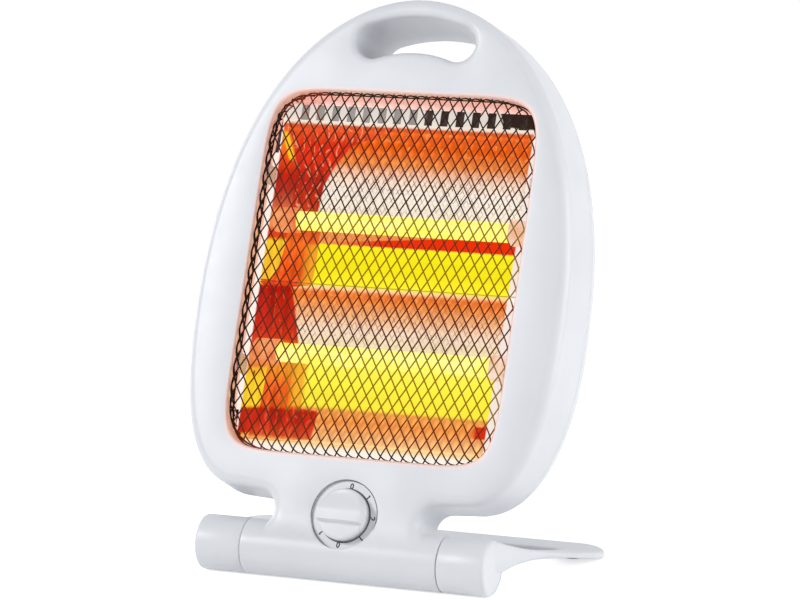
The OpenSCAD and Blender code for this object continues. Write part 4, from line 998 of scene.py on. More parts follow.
def arc(middle: tuple[float, float], radius: float, start: float, stop: float, count: int
        ) -> Array:
    """Points (count, 2) on a circle from one angle to another, in degrees."""
    a = np.radians(np.linspace(start, stop, count))
    return np.stack([middle[0] + radius * np.cos(a), middle[1] + radius * np.sin(a)], 1)


def outward(loop: Array) -> Array:
    """Unit normals of a closed loop that runs anticlockwise: the tangent turned to its right."""
    along = np.roll(loop, -1, 0) - np.roll(loop, 1, 0)
    turned = np.stack([along[:, 1], -along[:, 0]], 1)
    return turned / np.linalg.norm(turned, axis=1, keepdims=True)


def quarter(radius: float, steps: int = 6) -> tuple[Array, Array]:
    """Offsets and depths of a round edge: a quarter circle from the face down to the wall.

    Args:
        radius: of the edge.
        steps: quads along it.

    Returns:
        Offsets from the wall, falling from the radius to nought, and depths below the face.
    """
    a = np.radians(np.linspace(0, 90, steps + 1))
    return radius * (1 - np.sin(a)), radius * (1 - np.cos(a))


def swept(loop: Array, offsets: Array, depths: Array | Callable[[Array], Array]) -> Array:
    """Profile carried round an outline: each point moves along its normal, then takes a depth.

    Args:
        loop: (n, 2) outline.
        offsets: how far each step of the profile lies outside the outline, (k,).
        depths: (k, n), or a function of the moved points' heights (k, n) that gives them.

    Returns:
        Row metres, (k, n, 3).
    """
    moved = loop[None] + offsets[:, None, None] * outward(loop)[None]
    depth = depths(moved[..., 1]) if callable(depths) else np.broadcast_to(depths, moved.shape[:2])
    return PANEL.place(moved[..., 0], depth, moved[..., 1])


@dataclass(frozen=True)
class Window:
    """The window in the casing's face: a superellipse.

    Across over its half width and up over its half height, each raised to the power `square`,
    add up to one on its edge.
    """

    half: tuple[float, float] = (89.0, 113.65)
    middle: float = 170.9
    square: float = 9.0

    def loop(self, extra: float = 0.0, count: int = 96) -> Array:
        """Its outline: an angle's cosine and sine raised to two over the power, times the halves.

        The angle moves by a smooth step through each quarter, so points gather at its ends.

        Args:
            extra: how far outside the window it runs.
            count: points in a quarter.

        Returns:
            Points (4 * count, 2), anticlockwise.
        """
        s = np.arange(count) / count
        a = (np.arange(4)[:, None] + s * s * (3 - 2 * s)).ravel() * math.pi / 2
        c, v = np.cos(a), np.sin(a)
        power = 2 / self.square
        return np.stack([(self.half[0] + extra) * np.sign(c) * np.abs(c) ** power,
                         self.middle + (self.half[1] + extra) * np.sign(v) * np.abs(v) ** power], 1)


@dataclass
class Casing:
    """Both shells of the casing as one skin: face, round edges, back, holes and hinge barrel.

    Crown and hip are control points of the right half's cubic curves, under is the straight
    below them, and the neck's arcs are (middle, radius, first angle, last angle).

    The hand hole is (height of its arcs' middle, their radius, half its height, reach of its
    ends), the dial's recess (height, radius), the lip (from, to, depth), a group of vents
    (lowest, number, half width), a screw (across, up) and the inlet (across, up, depth). The
    ends of the window's and the recess's walls are (depth, width of the ledge there, outward).
    """

    crown: tuple[tuple[float, float], ...] = ((0, 348.0), (51, 348.0), (123.4, 298), (123.4, 148.5))
    hip: tuple[tuple[float, float], ...] = ((123.4, 148.5), (123.4, 90), (113.8, 32.4), (73, 32.4))
    under: tuple[tuple[float, float], ...] = ((71.5, 32.3), (60.5, 31.5))
    neck: tuple[tuple[tuple[float, float], float, float, float], ...] = (
        ((59.0, 22.4), 9.0, 90.0, 178.0), ((60.0, 22.0), 10.0, 181.0, 270.0))
    face: float = -13.4
    back: float = 44.2
    heel: float = 15.5
    heel_top: float = 120.0
    edge: float = 7.0
    flare: float = 1.6
    rear_edge: float = 10.0
    hand_edge: float = 4.3
    hand_rear_edge: float = 2.6
    window_edge: float = 1.5
    window_end: tuple[float, float] = (0.6, 2.4)
    dial_edge: float = 0.5
    dial_end: tuple[float, float] = (-11.02, -3.0)
    foot: float = -3.0
    widest: float = 0.67
    blend: float = 50.0
    blend_up: float = 21.7
    barrel: float = 17.0
    middle_half: float = 64.0
    gap_half: float = 26.0
    bore: float = 7.1
    hand: tuple[float, float, float, float] = (238.5, 84.6, 11.4, 28.0)
    dial: tuple[float, float] = (21.9, 21.3)
    lip: tuple[float, float, float] = (278.6, 287.0, 0.9)
    window: Window = field(default_factory=Window)
    vents: tuple[tuple[float, int, float], ...] = ((176.0, 11, 62.0), (92.0, 6, 48.0))
    vent_pitch: float = 7.0
    vent_half: float = 1.5
    screws: tuple[tuple[float, float], ...] = ((52.0, 298.2), (106.0, 165.2), (86.0, 46.4))
    screw_well: tuple[float, float] = (3.3, 7.9)
    inlet: tuple[float, float, float] = (-58.0, 72.0, 40.306)
    inlet_radius: float = 10.2

    def outline(self) -> tuple[Array, Array]:
        """The casing's edge from the left flare over the crown to the right flare.

        Crown and hips are cubic curves, and arcs turn the underside into the neck and the neck
        out onto the barrel.

        Returns:
            Points and unit normals towards the inside, both (n, 2).
        """
        half = np.concatenate([
            cubic(self.crown, np.linspace(0, 1, 150))[:-1],
            cubic(self.hip, np.linspace(0, 1, 100)),
            np.linspace(*self.under, 6),
            *(arc(middle, radius, start, stop, 22) for middle, radius, start, stop in self.neck)])
        whole = np.concatenate([half[::-1] * (-1, 1), half[1:]])
        along = np.gradient(whole, axis=0)
        inward = np.stack([along[:, 1], -along[:, 0]], 1)
        return whole, inward / np.linalg.norm(inward, axis=1, keepdims=True)

    def face_back(self, up: Array) -> Array:
        """Depth of the face: level, then an arc of radius `blend` that runs onto the barrel."""
        up = np.asarray(up, float)
        hollow = self.face - self.blend + np.sqrt(
            self.blend ** 2 - np.clip(up - self.blend_up, -30, 0) ** 2)
        barrel = -np.sqrt((self.barrel + 0.02) ** 2 - np.clip(up, -12, 12) ** 2)
        return np.where(up < 5.5, barrel, hollow)

    def back_of(self, up: Array) -> Array:
        """Depth of the back: level above the heel, and sloping forward to the barrel below."""
        return self.back - (self.back - self.heel) * np.clip(1 - up / self.heel_top, 0, None) ** 1.6

    def ring(self, inset: float | Array, offset: float, share: float) -> tuple[Array, Array]:
        """One ring of the casing's side.

        Args:
            inset: how far inside the outline.
            offset: depth behind the face.
            share: share of the casing's depth, added to that.

        Returns:
            Places (n, 2) and depths (n,).
        """
        line, inward = self.outline()
        at = line + np.broadcast_to(inset, len(line))[:, None] * inward
        depth = self.face + offset + share * (self.back_of(at[:, 1]) - self.face)
        weight = np.clip(depth / self.face, 0, 1)
        return at, depth + (self.face_back(at[:, 1]) - self.face) * weight

    def hand_loop(self, extra: float = 0.0) -> Array:
        """The hand hole's edge: two arcs about one middle, joined by round ends.

        Args:
            extra: how far outside the hole it runs.

        Returns:
            Points (n, 2), anticlockwise.
        """
        middle, mid, half, reach = self.hand
        r, turn = half + extra, math.degrees(math.asin(reach / mid))
        ends = [(s * reach, middle + math.sqrt(mid * mid - reach * reach)) for s in (1, -1)]
        return np.concatenate([
            arc((0, middle), mid + r, 90 - turn, 90 + turn, 60)[:-1],
            arc(ends[1], r, 90 + turn, 270 + turn, 40)[:-1],
            arc((0, middle), mid - r, 90 + turn, 90 - turn, 50)[:-1],
            arc(ends[0], r, -90 - turn, 90 - turn, 40)[:-1]])

    def side(self) -> Array:
        """Rings from the face's round edge over the widest line to the back's round edge.

        A fine groove marks the line where the two shells meet. The rear edge is a quarter of an
        ellipse: its inset is one less the cosine of an angle, and its depth goes by the sine.

        Returns:
            Row metres, (rings, n, 3).
        """
        soft, depth = quarter(self.edge, 8)
        rings = [self.ring(self.flare + i, d, 0.0) for i, d in zip(soft, depth)]
        for inset, share in ((0.0, self.widest - 0.004), (0.3, self.widest - 0.002),
                             (0.3, self.widest + 0.002), (0.0, self.widest + 0.004)):
            rings.append(self.ring(inset, 0.0, share))
        for a in np.radians(np.linspace(0, 90, 13))[1:]:
            rings.append(self.ring(self.rear_edge * (1 - math.cos(a)), 0.0,
                                   self.widest + (1 - self.widest) * math.sin(a)))
        return np.stack([PANEL.place(p[:, 0], d, p[:, 1]) for p, d in rings])

    def circle(self, across: float, up: float, radius: float, count: int = 96) -> Array:
        """A circle (count, 2), anticlockwise."""
        return arc((across, up), radius, 0, 360, count + 1)[:-1]

    def front(self, skin: Skin) -> None:
        """The face, with the window, the hand hole and the dial's recess let into it.

        Args:
            skin: what the surfaces are added to.
        """
        ring, _ = self.ring(self.flare + self.edge, 0.0, 0.0)
        down = np.linspace(ring[-1, 1], self.foot, 9)[1:]
        right = np.stack([np.full(8, ring[-1, 0]), down], 1)
        across = np.linspace(ring[-1, 0], -ring[-1, 0], 41)[1:-1]
        foot = np.stack([across, np.full(39, self.foot)], 1)
        outline = np.concatenate([ring, right, foot, right[::-1] * (-1, 1)])
        openings = ((self.hand_loop(), self.hand_edge, None),
                    (self.window.loop(), self.window_edge, self.window_end),
                    (self.circle(0, *self.dial, 144), self.dial_edge, self.dial_end))
        holes = [loop + edge * outward(loop) for loop, edge, _ in openings]
        # More points over the hollow above the barrel, clear of the recess and of the outline.
        u, v = np.meshgrid(np.linspace(-57, 57, 39), np.arange(-2, 23, 1.0))
        spots = np.stack([u.ravel(), v.ravel()], 1)
        clear = np.hypot(spots[:, 0], spots[:, 1] - self.dial[0]) > self.dial[1] + 1.4
        spots = spots[clear & within(spots, outline)]
        near = np.min(np.linalg.norm(spots[:, None] - outline[None], axis=2), 1) > 0.7
        skin.plate(outline, holes, spots[near],
                   lambda a, b: PANEL.place(a, self.face_back(b), b))
        for loop, edge, end in openings:
            offsets, depths = quarter(edge)
            skin.grid(swept(loop, offsets, lambda up, d=depths: self.face_back(up) + d[:, None]),
                      around=True)
            if end:
                first = self.face_back(loop[:, 1]) + edge
                last = np.full(len(loop), end[0])
                skin.grid(swept(loop, np.array([0.0, 0.0, 0.0, end[1]]),
                                np.stack([first, (first + last) / 2, last, last])), around=True)
        # A lip above the upper trough's flange, which shuts the view past its edge.
        bottom, top, back = self.lip
        u, v = np.meshgrid(np.linspace(-88, 88, 45), np.linspace(bottom, top, 4))
        skin.grid(PANEL.place(u, back, v))

    def rear(self, skin: Skin) -> None:
        """The back, with its vents, screw wells, cable pad and the hand hole's other end.

        Args:
            skin: what the surfaces are added to.
        """
        ring, _ = self.ring(self.rear_edge, 0.0, 1.0)
        hand = self.hand_loop()
        # Each wall: its loop, its profile's steps outward, and their depths under the back.
        walls: list[tuple[Array, list[float], list[float]]] = []
        r = self.vent_half
        for bottom, count, half in self.vents:
            for up in bottom + r + self.vent_pitch * np.arange(count):
                slot = np.concatenate([arc((half - r, up), r, -90, 90, 9),
                                       arc((r - half, up), r, 90, 270, 9)])
                walls.append((slot, [0.0, -0.35, -0.35], [0.0, 0.5, 2.8]))
        radius, deep = self.screw_well
        for x, up in self.screws:
            for side in (x, -x):
                walls.append((self.circle(side, up, radius, 40), [0.0, -0.3, -0.3, -1.6],
                              [0.0, 0.3, deep, deep]))
        across, up, flat = self.inlet
        pad = self.circle(across, up, self.inlet_radius, 64)
        holes = [hand + self.hand_rear_edge * outward(hand), *(wall[0] for wall in walls), pad]
        # More points where the back bends, clear of every hole and of the outline.
        u, v = np.meshgrid(np.linspace(-110, 110, 31), np.arange(0, 124, 3.0))
        spots = np.stack([u.ravel(), v.ravel()], 1)
        keep = within(spots, ring)
        for hole in holes:
            keep &= ~within(spots, hole + 1.2 * outward(hole))
        spots = spots[keep]
        near = np.min(np.linalg.norm(spots[:, None] - ring[None], axis=2), 1) > 1.5
        skin.plate(ring, holes, spots[near], lambda a, b: PANEL.place(a, self.back_of(b), b))
        for loop, offsets, depths in walls:
            skin.grid(swept(loop, np.array(offsets), lambda up, d=np.array(depths):
                            self.back_of(up) - d[:, None]), around=True)
        # The cable pad: a short wall, a round edge, a flat ring, and a hole in its middle.
        base = self.back_of(pad[:, 1])
        flats = np.array([flat - 0.6, flat, flat, flat - 9])[:, None] + 0 * base
        skin.grid(swept(pad, np.array([0.0, 0.0, -0.6, -4.0, -4.0]),
                        np.concatenate([base[None], flats])), around=True)
        # The hand hole's round rear edge and its straight wall, with rows close to the seam.
        offsets, depths = quarter(self.hand_rear_edge)
        skin.grid(swept(hand, offsets, (self.back - depths)[:, None]), around=True)
        seam = self.face + self.widest * (self.back - self.face)
        rows = np.array([self.face + self.hand_edge, 5.0, seam - 0.25, seam - 0.1, seam + 0.1,
                         seam + 0.25, self.back - self.hand_rear_edge])
        skin.grid(swept(hand, np.zeros(len(rows)), rows[:, None]), around=True)

    def hinge(self, skin: Skin) -> None:
        """The middle barrel: a turned profile, open where the dial's recess reaches into it.

        Args:
            skin: what the surfaces are added to.
        """
        r, half, soft, gap = self.barrel, self.middle_half, 0.9, self.gap_half
        a = np.linspace(0, 2 * math.pi, 193)
        x = np.concatenate([np.linspace(-half + soft, -gap, 20), np.linspace(-gap, gap, 27)[1:-1],
                            np.linspace(gap, half - soft, 20)])
        end_x = np.array([half - 0.15 * soft, half, half])
        end_r = np.array([r - 0.15 * soft, r - soft, self.bore])
        xs = np.concatenate([-end_x[::-1], x, end_x])
        rs = np.concatenate([end_r[::-1], np.full(len(x), r), end_r])
        back, up = -rs[:, None] * np.cos(a), rs[:, None] * np.sin(a)
        mid_x = (xs[:-1] + xs[1:]) / 2
        mid_a = (a[:-1] + a[1:]) / 2
        open_ = (np.abs(mid_x)[:, None] < gap) & (r * np.sin(mid_a) > -1.6) & (np.cos(mid_a) > 0)
        skin.grid(PANEL.place(xs[:, None], back, up), keep=~open_)

    def build(self) -> None:
        """Makes the casing."""
        skin = Skin()
        skin.grid(self.side())
        self.front(skin)
        self.rear(skin)
        skin.piece("casing_shells", Body.HOUSING, Finishes.casing, "casing_plastic",
                   ("front_cover", "rear_cover"))
        barrel = Skin()
        self.hinge(barrel)
        barrel.piece("casing_barrel", Body.HOUSING, Finishes.casing, "casing_plastic")


@dataclass
class Guard:
    """The wire guard: two families of straight strands, bent back together round the rim.

    Cell is the mesh's width and height, phase the share of a cell that the net is shifted up,
    and cross the share of the wire's radius by which one family lies behind the net's middle
    and the other before it. The net ends on a superellipse with the power `square`.
    """

    cell: tuple[float, float] = (7.2, 12.1)
    depth: float = -15.0
    wire: float = 0.47
    bend: float = 5.4
    rim: float = 10.8
    inset: float = 0.35
    bent_part: float = 36.0
    phase: float = 0.25
    cross: float = 0.45
    square: float = 7.0
    rim_wire: float = 0.45
    rim_short: float = 0.4
    window: Window = field(default_factory=Window)

    def bent(self, flat: Array) -> tuple[Array, Array]:
        """Bends the flat net back past its rim.

        A point outside the rim goes to the rim's nearest point. The first part of its distance
        runs round a quarter circle and the rest straight back.

        Args:
            flat: (..., 2) places in the flat net.

        Returns:
            The bent places (..., 2) and their depths (...).
        """
        line = self.window.loop(-self.inset - self.bend, 90)
        away = outward(line)
        spots = flat.reshape(-1, 2)
        gap = np.linalg.norm(spots[:, None] - line[None], axis=2)
        near = gap.argmin(1)
        # Between two points of the rim, the foot of the perpendicular is used.
        along = np.stack([-away[near][:, 1], away[near][:, 0]], 1)
        foot = line[near] + np.sum((spots - line[near]) * along, 1)[:, None] * along
        out = np.sum((spots - line[near]) * away[near], 1)
        angle = np.clip(out / self.bend, 0, math.pi / 2)
        past = np.clip(out - self.bend * math.pi / 2, 0, None)
        moved = foot + (self.bend * np.sin(angle))[:, None] * away[near]
        outside = out > 0
        place = np.where(outside[:, None], moved, spots)
        depth = np.where(outside, self.bend * (1 - np.cos(angle)) + past, 0.0)
        return place.reshape(flat.shape), depth.reshape(flat.shape[:-1])

    def strands(self, way: int) -> Array:
        """Centre lines of one family: lines of one slope, a cell apart, cut at the outer rim.

        Args:
            way: 1 or -1, which way they lean.

        Returns:
            (strands, points, 3) panel millimetres across, back and up.
        """
        slope = way * self.cell[1] / self.cell[0]
        # From the bend's inner line: the quarter circle's length, then the straight part.
        reach = self.bend * math.pi / 2 + self.rim - self.bend
        half = np.array(self.window.half) - self.inset - self.bend + reach
        rows = np.arange(-26, 27) + self.phase
        # Each line is tried every 0.08 mm.
        t = np.linspace(-220, 220, 5501)
        length = math.hypot(1, slope)
        u = t[None] / length + 0 * rows[:, None]
        v = slope * u + rows[:, None] * self.cell[1]
        # Inside the outer rim where the superellipse's sum of powers is under one.
        power = self.square
        inside = (np.abs(u) / half[0]) ** power + (np.abs(v) / half[1]) ** power < 1
        # Strands shorter than 3 mm are left out.
        rows_in = inside.sum(1) > 40
        first = inside[rows_in].argmax(1)
        last = len(t) - 1 - inside[rows_in][:, ::-1].argmax(1)
        start, stop = t[first], t[last]
        # Points lie along the bent part at each end, and one straight step joins the two.
        near = np.linspace(0, 1, 34)
        share = np.concatenate([near, 1 + near[1:]])
        span = (stop - start)[:, None]
        edge = np.minimum(self.bent_part / span, 0.5)
        at = np.where(share <= 1, share * edge, 1 - (2 - share) * edge)
        spots = start[:, None] + at * span
        u = spots / length
        v = slope * u + rows[rows_in][:, None] * self.cell[1] + self.window.middle
        place, depth = self.bent(np.stack([u, v], -1))
        over = way * self.wire * self.cross * np.ones_like(depth)
        return np.stack([place[..., 0], self.depth + depth + over, place[..., 1]], -1)

    def tubes(self, skin: Skin, lines: Array, radius: float) -> None:
        """Round wire along centre lines: a six-sided ring at each point, square to the line.

        Args:
            skin: what the wire is added to.
            lines: (strands, points, 3) panel millimetres.
            radius: the wire's.
        """
        along = np.gradient(lines, axis=1)
        along /= np.linalg.norm(along, axis=2, keepdims=True)
        side = np.cross(along, np.array([0.3, 1.0, 0.2]))
        side /= np.linalg.norm(side, axis=2, keepdims=True)
        other = np.cross(along, side)
        a = np.radians(np.arange(0, 360, 60))
        ring = (lines[:, :, None] + radius * (np.cos(a)[:, None] * side[:, :, None]
                                              + np.sin(a)[:, None] * other[:, :, None]))
        for strand in PANEL.place(ring[..., 0], ring[..., 1], ring[..., 2]):
            skin.grid(strand, around=True)

    def build(self) -> None:
        """Makes the guard."""
        skin = Skin()
        for way in (1, -1):
            self.tubes(skin, self.strands(way), self.wire)
        rim = self.window.loop(-self.inset, 60)
        rim = np.concatenate([rim, rim[:1]])
        back = np.full(len(rim), self.depth + self.rim - self.rim_short)
        self.tubes(skin, np.stack([rim[:, 0], back, rim[:, 1]], 1)[None], self.rim_wire)
        skin.piece("wire_guard", Body.HOUSING, Finishes.wire, "guard_wire", ("guard_mesh",),
                   sharp=80)


@dataclass
class Dial:
    """The knob with its grip bar, and the printed numbers on the ring round it.

    The grip's flanks, above and below, are (where it ends, how far its step runs), the rim's
    rings (radius, drop behind the disc, share of the grip's height), the rings of painted shade
    in the gap round the dial ring and at the knob's foot (inner radius, outer radius, depth),
    and the marks (degrees clockwise from the top, digit).
    """

    up: float = 21.9
    radius: float = 15.75
    back: float = -12.4
    disc: float = -18.4
    grip: float = 5.4
    grip_reach: float = 14.6
    flanks: tuple[tuple[float, float], tuple[float, float]] = ((13.5, 13.0), (5.5, 1.1))
    dome: float = 0.5
    dome_radius: float = 14.7
    front_radius: float = 13.6
    end_radius: float = 14.2
    rim: tuple[tuple[float, float, float], ...] = (
        (14.1, 0.0, 0.93), (14.5, 0.0, 0.8), (14.75, 0.15, 0.5), (14.85, 0.3, 0.0),
        (15.2, 0.5, 0.0), (15.5, 0.8, 0.0))
    print_radius: float = 18.1
    print_back: float = -11.93
    tall: float = 3.0
    stroke: float = 0.78
    shade_rings: tuple[tuple[float, float, float], ...] = ((21.2, 21.74, -13.45), (15.8, 16.75, -11.96))
    marks: tuple[tuple[float, str], ...] = ((6, "0"), (48, "1"), (91, "2"), (136, "1"),
                                            (185, "0"), (230, "1"))

    def knob(self) -> Skin:
        """The knob as rings of points: a sculpted front, a round rim, a side and a back.

        The front's height over the disc is the grip bar's: full within its half width, and
        falling by a smooth step on both sides. Its ends fall over a round edge to the rim.

        Returns:
            The knob's surface.
        """
        phi = np.linspace(0, 2 * math.pi, 361)[:-1]
        inner = np.linspace(0.02, self.front_radius, 52)
        r = inner[:, None] + 0 * phi
        bar = self.bar(r * np.sin(phi))
        fall = np.clip(self.grip_reach - r, 0, 1) ** 0.4
        dome = self.dome * (1 - (r / self.dome_radius) ** 2)
        rows = [(r, self.disc - bar * self.grip * fall - dome * (1 - bar))]
        bar = self.bar(self.end_radius * np.sin(phi)) * self.grip
        for radius, drop, part in (*self.rim, (self.radius, 1.3, 0.0)):
            rows.append((np.full((1, 360), radius), (self.disc + drop - bar * part)[None]))
        for radius, depth in ((self.radius + 0.05, self.back - 0.4), (self.radius - 0.3, self.back),
                              (8.0, self.back)):
            rows.append((np.full((1, 360), radius), np.full((1, 360), depth)))
        radii = np.concatenate([row[0] for row in rows])
        depth = np.concatenate([row[1] for row in rows])
        skin = Skin()
        skin.grid(PANEL.place(radii * np.cos(phi), depth, self.up + radii * np.sin(phi)),
                  around=True)
        return skin

    def bar(self, z: Array) -> Array:
        """Share of the grip's height at a distance from its middle line.

        A smooth step on both sides: steep below, and above it runs out to the rim.

        Args:
            z: distances above the middle line.

        Returns:
            Shares from nought to one.
        """
        (reach, fall), (reach_below, fall_below) = self.flanks
        t = np.clip((np.where(z > 0, reach, reach_below) - np.abs(z))
                    / np.where(z > 0, fall, fall_below), 0, 1)
        return t * t * (3 - 2 * t)

    def digit(self, mark: str) -> list[Array]:
        """Centre lines of a digit's strokes, in digit heights about its middle.

        Args:
            mark: the digit, 0, 1 or 2.

        Returns:
            A list of lines, each (n, 2).
        """
        if mark == "0":
            a = np.linspace(0, 2 * math.pi, 29)
            return [np.stack([0.27 * np.cos(a), 0.5 * np.sin(a)], 1)]
        if mark == "1":
            return [np.array([(-0.2, 0.26), (0.02, 0.5), (0.04, 0.3), (0.04, -0.5)])]
        top = arc((0.0, 0.22), 0.28, 165, -35, 16)
        return [np.concatenate([top, [(-0.28, -0.5), (0.3, -0.5)]])]

    def numbers(self) -> Skin:
        """The printed numbers: flat ribbons along each stroke, turned to face outward.

        Returns:
            The ribbons.
        """
        skin = Skin()
        for angle, mark in self.marks:
            for line in self.digit(mark):
                along = np.gradient(line, axis=0)
                side = np.stack([-along[:, 1], along[:, 0]], 1)
                side /= np.linalg.norm(side, axis=1, keepdims=True)
                away = np.array([-1, 1])[None, :, None] * side[:, None] * self.stroke / 2
                both = line[:, None] * self.tall + away
                a = math.radians(-angle)
                u = both[..., 0] * math.cos(a) - both[..., 1] * math.sin(a)
                v = both[..., 0] * math.sin(a) + both[..., 1] * math.cos(a)
                u = u - self.print_radius * math.sin(a)
                v = v + self.print_radius * math.cos(a) + self.up
                skin.grid(PANEL.place(u, self.print_back, v))
        return skin

    def build(self) -> None:
        """Makes the knob, the numbers and the painted shade in the gaps."""
        self.knob().piece("knob_cap", Body.KNOB, Finishes.knob, "knob_plastic", ("knob",), sharp=60)
        self.numbers().piece("dial_numbers", Body.HOUSING, Finishes.ink, "knob_plastic",
                             turn=False)
        # Painted shade: dark rings between two circles in the gap round the dial ring, and the
        # knob's shadow at its foot.
        a = np.linspace(0, 2 * math.pi, 161)[:-1]
        line = Skin()
        for inner, outer, depth in self.shade_rings:
            r = np.array([inner, outer])[:, None]
            line.grid(PANEL.place(r * np.cos(a), depth, self.up + r * np.sin(a)), around=True)
        line.piece("dial_painted_shade", Body.HOUSING, Finishes.gap, "knob_plastic", turn=False)


@dataclass
class Stand:
    """The stand: two end barrels, arms that sweep down from them, and the rear rail.

    The arms' outer and inner edges are curves of across and back, seen from above, and their top
    and underside are curves of back and height over the floor.
    """

    barrel: float = 17.0
    start: float = 64.3
    end: float = 94.8
    soft: float = 2.5
    mouth: float = 14.4
    edge: float = 2.4
    axis: float = 17.0
    bore: float = 7.0
    outer: tuple[tuple[float, float], ...] = ((93.7, 0), (102.4, 35), (124, 66), (124, 109))
    inner: tuple[tuple[float, float], ...] = ((73, -1), (80.8, 34), (100, 60), (100, 95))
    corners: tuple[float, float] = (22.0, 10.0)
    top: tuple[tuple[float, float], ...] = ((8, 32), (34, 20), (70, 13.4), (112, 6.0))
    under: tuple[tuple[float, float], ...] = ((14, 12.5), (45, 20), (75, 8), (117, 0.4))

    def line(self, curve: tuple[tuple[float, float], ...], corner: float) -> Array:
        """One edge of the right half: a cubic curve, a quarter circle and the rail's straight.

        Args:
            curve: the curve's four control points, across and back.
            corner: the quarter circle's radius.

        Returns:
            Points (n, 2).
        """
        x, y = curve[3][0] - corner, curve[3][1]
        return np.concatenate([cubic(curve, np.linspace(0, 1, 46)),
                               arc((x, y), corner, 0, 90, 19)[1:],
                               np.linspace((x, y + corner), (0, y + corner), 16)[1:]])

    def height(self, back: Array, curve: tuple[tuple[float, float], ...]) -> Array:
        """Height over the floor of the arm's top or underside, a cubic curve of the depth."""
        line = cubic(curve, np.linspace(0, 1, 200))
        return np.interp(back, line[:, 0], line[:, 1])

    def loop(self, count: int = 5) -> Array:
        """A round-cornered square, as which side each point is on and how its corner turns.

        Args:
            count: points in a corner.

        Returns:
            Signs of across and up, then the turn's cosine and sine, (4 * count, 4).
        """
        turns = np.radians(np.linspace(0, 90, count))
        out = []
        for sx, sz, start in ((1, 1, 0), (-1, 1, 90), (-1, -1, 180), (1, -1, 270)):
            a = turns + math.radians(start)
            out.append(np.stack([np.full(count, sx), np.full(count, sz), np.cos(a), np.sin(a)], 1))
        return np.concatenate(out)

    def arms(self) -> Skin:
        """Arms and rail in one sweep: a round-cornered section between the two plan edges.

        At each step the section spans from the inner to the outer edge and from the underside to
        the top, and its corners have one radius, or half the height where that is less.

        Returns:
            The arms' surface.
        """
        outer = self.line(self.outer, self.corners[0])
        inner = self.line(self.inner, self.corners[1])
        outer = np.concatenate([outer, outer[-2::-1] * (-1, 1)])
        inner = np.concatenate([inner, inner[-2::-1] * (-1, 1)])
        width = np.linalg.norm(outer - inner, axis=1)[:, None]
        across = (outer - inner) / width
        middle = (outer + inner) / 2
        loop = self.loop()
        low, high = self.height(middle[:, 1], self.under), self.height(middle[:, 1], self.top)
        tall = (high - low)[:, None]
        r = np.minimum(self.edge, tall / 2 - 0.1)
        side = loop[:, 0] * (width / 2 - r) + loop[:, 2] * r
        at = middle[:, None] + side[..., None] * across[:, None]
        lo, hi = self.height(at[..., 1], self.under), self.height(at[..., 1], self.top)
        rise = (loop[:, 1] * ((hi - lo) / 2 - r)) + loop[:, 3] * r + (hi + lo) / 2
        skin = Skin()
        skin.grid(LEVEL.place(at[..., 0], at[..., 1], rise - self.axis), around=True)
        return skin

    def barrels(self, skin: Skin) -> None:
        """The end barrels: a profile turned about the hinge axis, with a round outer edge.

        Args:
            skin: what the surfaces are added to.
        """
        a = np.linspace(0, 2 * math.pi, 145)
        turn = np.radians(np.linspace(0, 90, 8))
        r, s = self.barrel, self.soft
        xs = np.concatenate([[self.start, self.start, self.start + 0.3, self.start + 0.9],
                             self.end - s + s * np.sin(turn), [self.end, self.end - 0.3,
                                                               self.end - 4]])
        rs = np.concatenate([[self.bore, r - 0.9, r - 0.3, r], r - s + s * np.cos(turn),
                             [self.mouth + 0.2, self.mouth, self.mouth]])
        for sign in (1, -1):
            skin.grid(LEVEL.place(sign * xs[:, None] + 0 * a, rs[:, None] * np.cos(a),
                                  rs[:, None] * np.sin(a)))

    def build(self) -> None:
        """Makes the stand."""
        self.arms().piece("stand_arms", Body.STAND, Finishes.stand, "stand_plastic",
                          ("stand_frame",))
        skin = Skin()
        self.barrels(skin)
        skin.piece("stand_barrels", Body.STAND, Finishes.stand, "stand_plastic")


@dataclass
class Inside:
    """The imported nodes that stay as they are, each dressed in its own finish."""

    sheet_half: float = 86.0
    sheet_rows: tuple[float, float] = (266.5, 283.5)
    sheet_back: float = 5.0
    sheet_bow: float = 0.6

    def dress(self) -> None:
        """Gives each node of the frame that is kept a finish."""
        f = Finishes
        plan: dict[Finish, tuple[str, ...]] = {
            f.trough: ("upper_reflector", "lower_reflector"),
            f.left_plate: ("left_end_plate",), f.right_plate: ("right_end_plate",),
            f.quartz: ("upper_tube", "lower_tube"),
            f.glowing_wire: ("upper_element", "lower_element"),
            f.ceramic: ("upper_left_cap", "lower_left_cap"),
            f.far_ceramic: ("upper_right_cap", "lower_right_cap"), f.clip: ("guard_clips",),
            f.porcelain: ("terminal_block",),
            f.stand: ("left_end_cover", "right_end_cover"), f.knob: ("dial_ring",),
            f.black: ("rotary_switch", "thermal_cutout", "tip_frame", "tip_microswitch",
                      "cable_bushing"),
            f.brass: ("switch_terminals", "terminal_screws", "tip_weight"),
            f.brown: ("live_lead", "upper_tube_lead", "lower_tube_lead", "tube_link_lead"),
            f.blue: ("cutout_lead", "neutral_lead"),
            f.rubber: ("left_foot_pad", "right_foot_pad")}
        chosen = {node: finish for finish, nodes in plan.items() for node in nodes}
        for name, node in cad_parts.items():
            material = f.get(chosen.get(name, f.steel))
            node.data.materials.clear()
            node.data.materials.append(material)
            log.info("%s dressed in %s", name, material.name)

    def slot_light_and_shade(self) -> None:
        """The sheet of painted light and shade behind the upper flange's slots: its depth waves by
        a cosine of the height.
        """
        u, v = np.meshgrid(np.linspace(-self.sheet_half, self.sheet_half, 60),
                           np.linspace(*self.sheet_rows, 8))
        skin = Skin()
        skin.grid(PANEL.place(u, self.sheet_back + self.sheet_bow * np.cos(v / 5.0), v))
        skin.piece("slot_light_and_shade_sheet", Body.HOUSING, Finishes.slot_light_and_shade, "cap_ceramic")


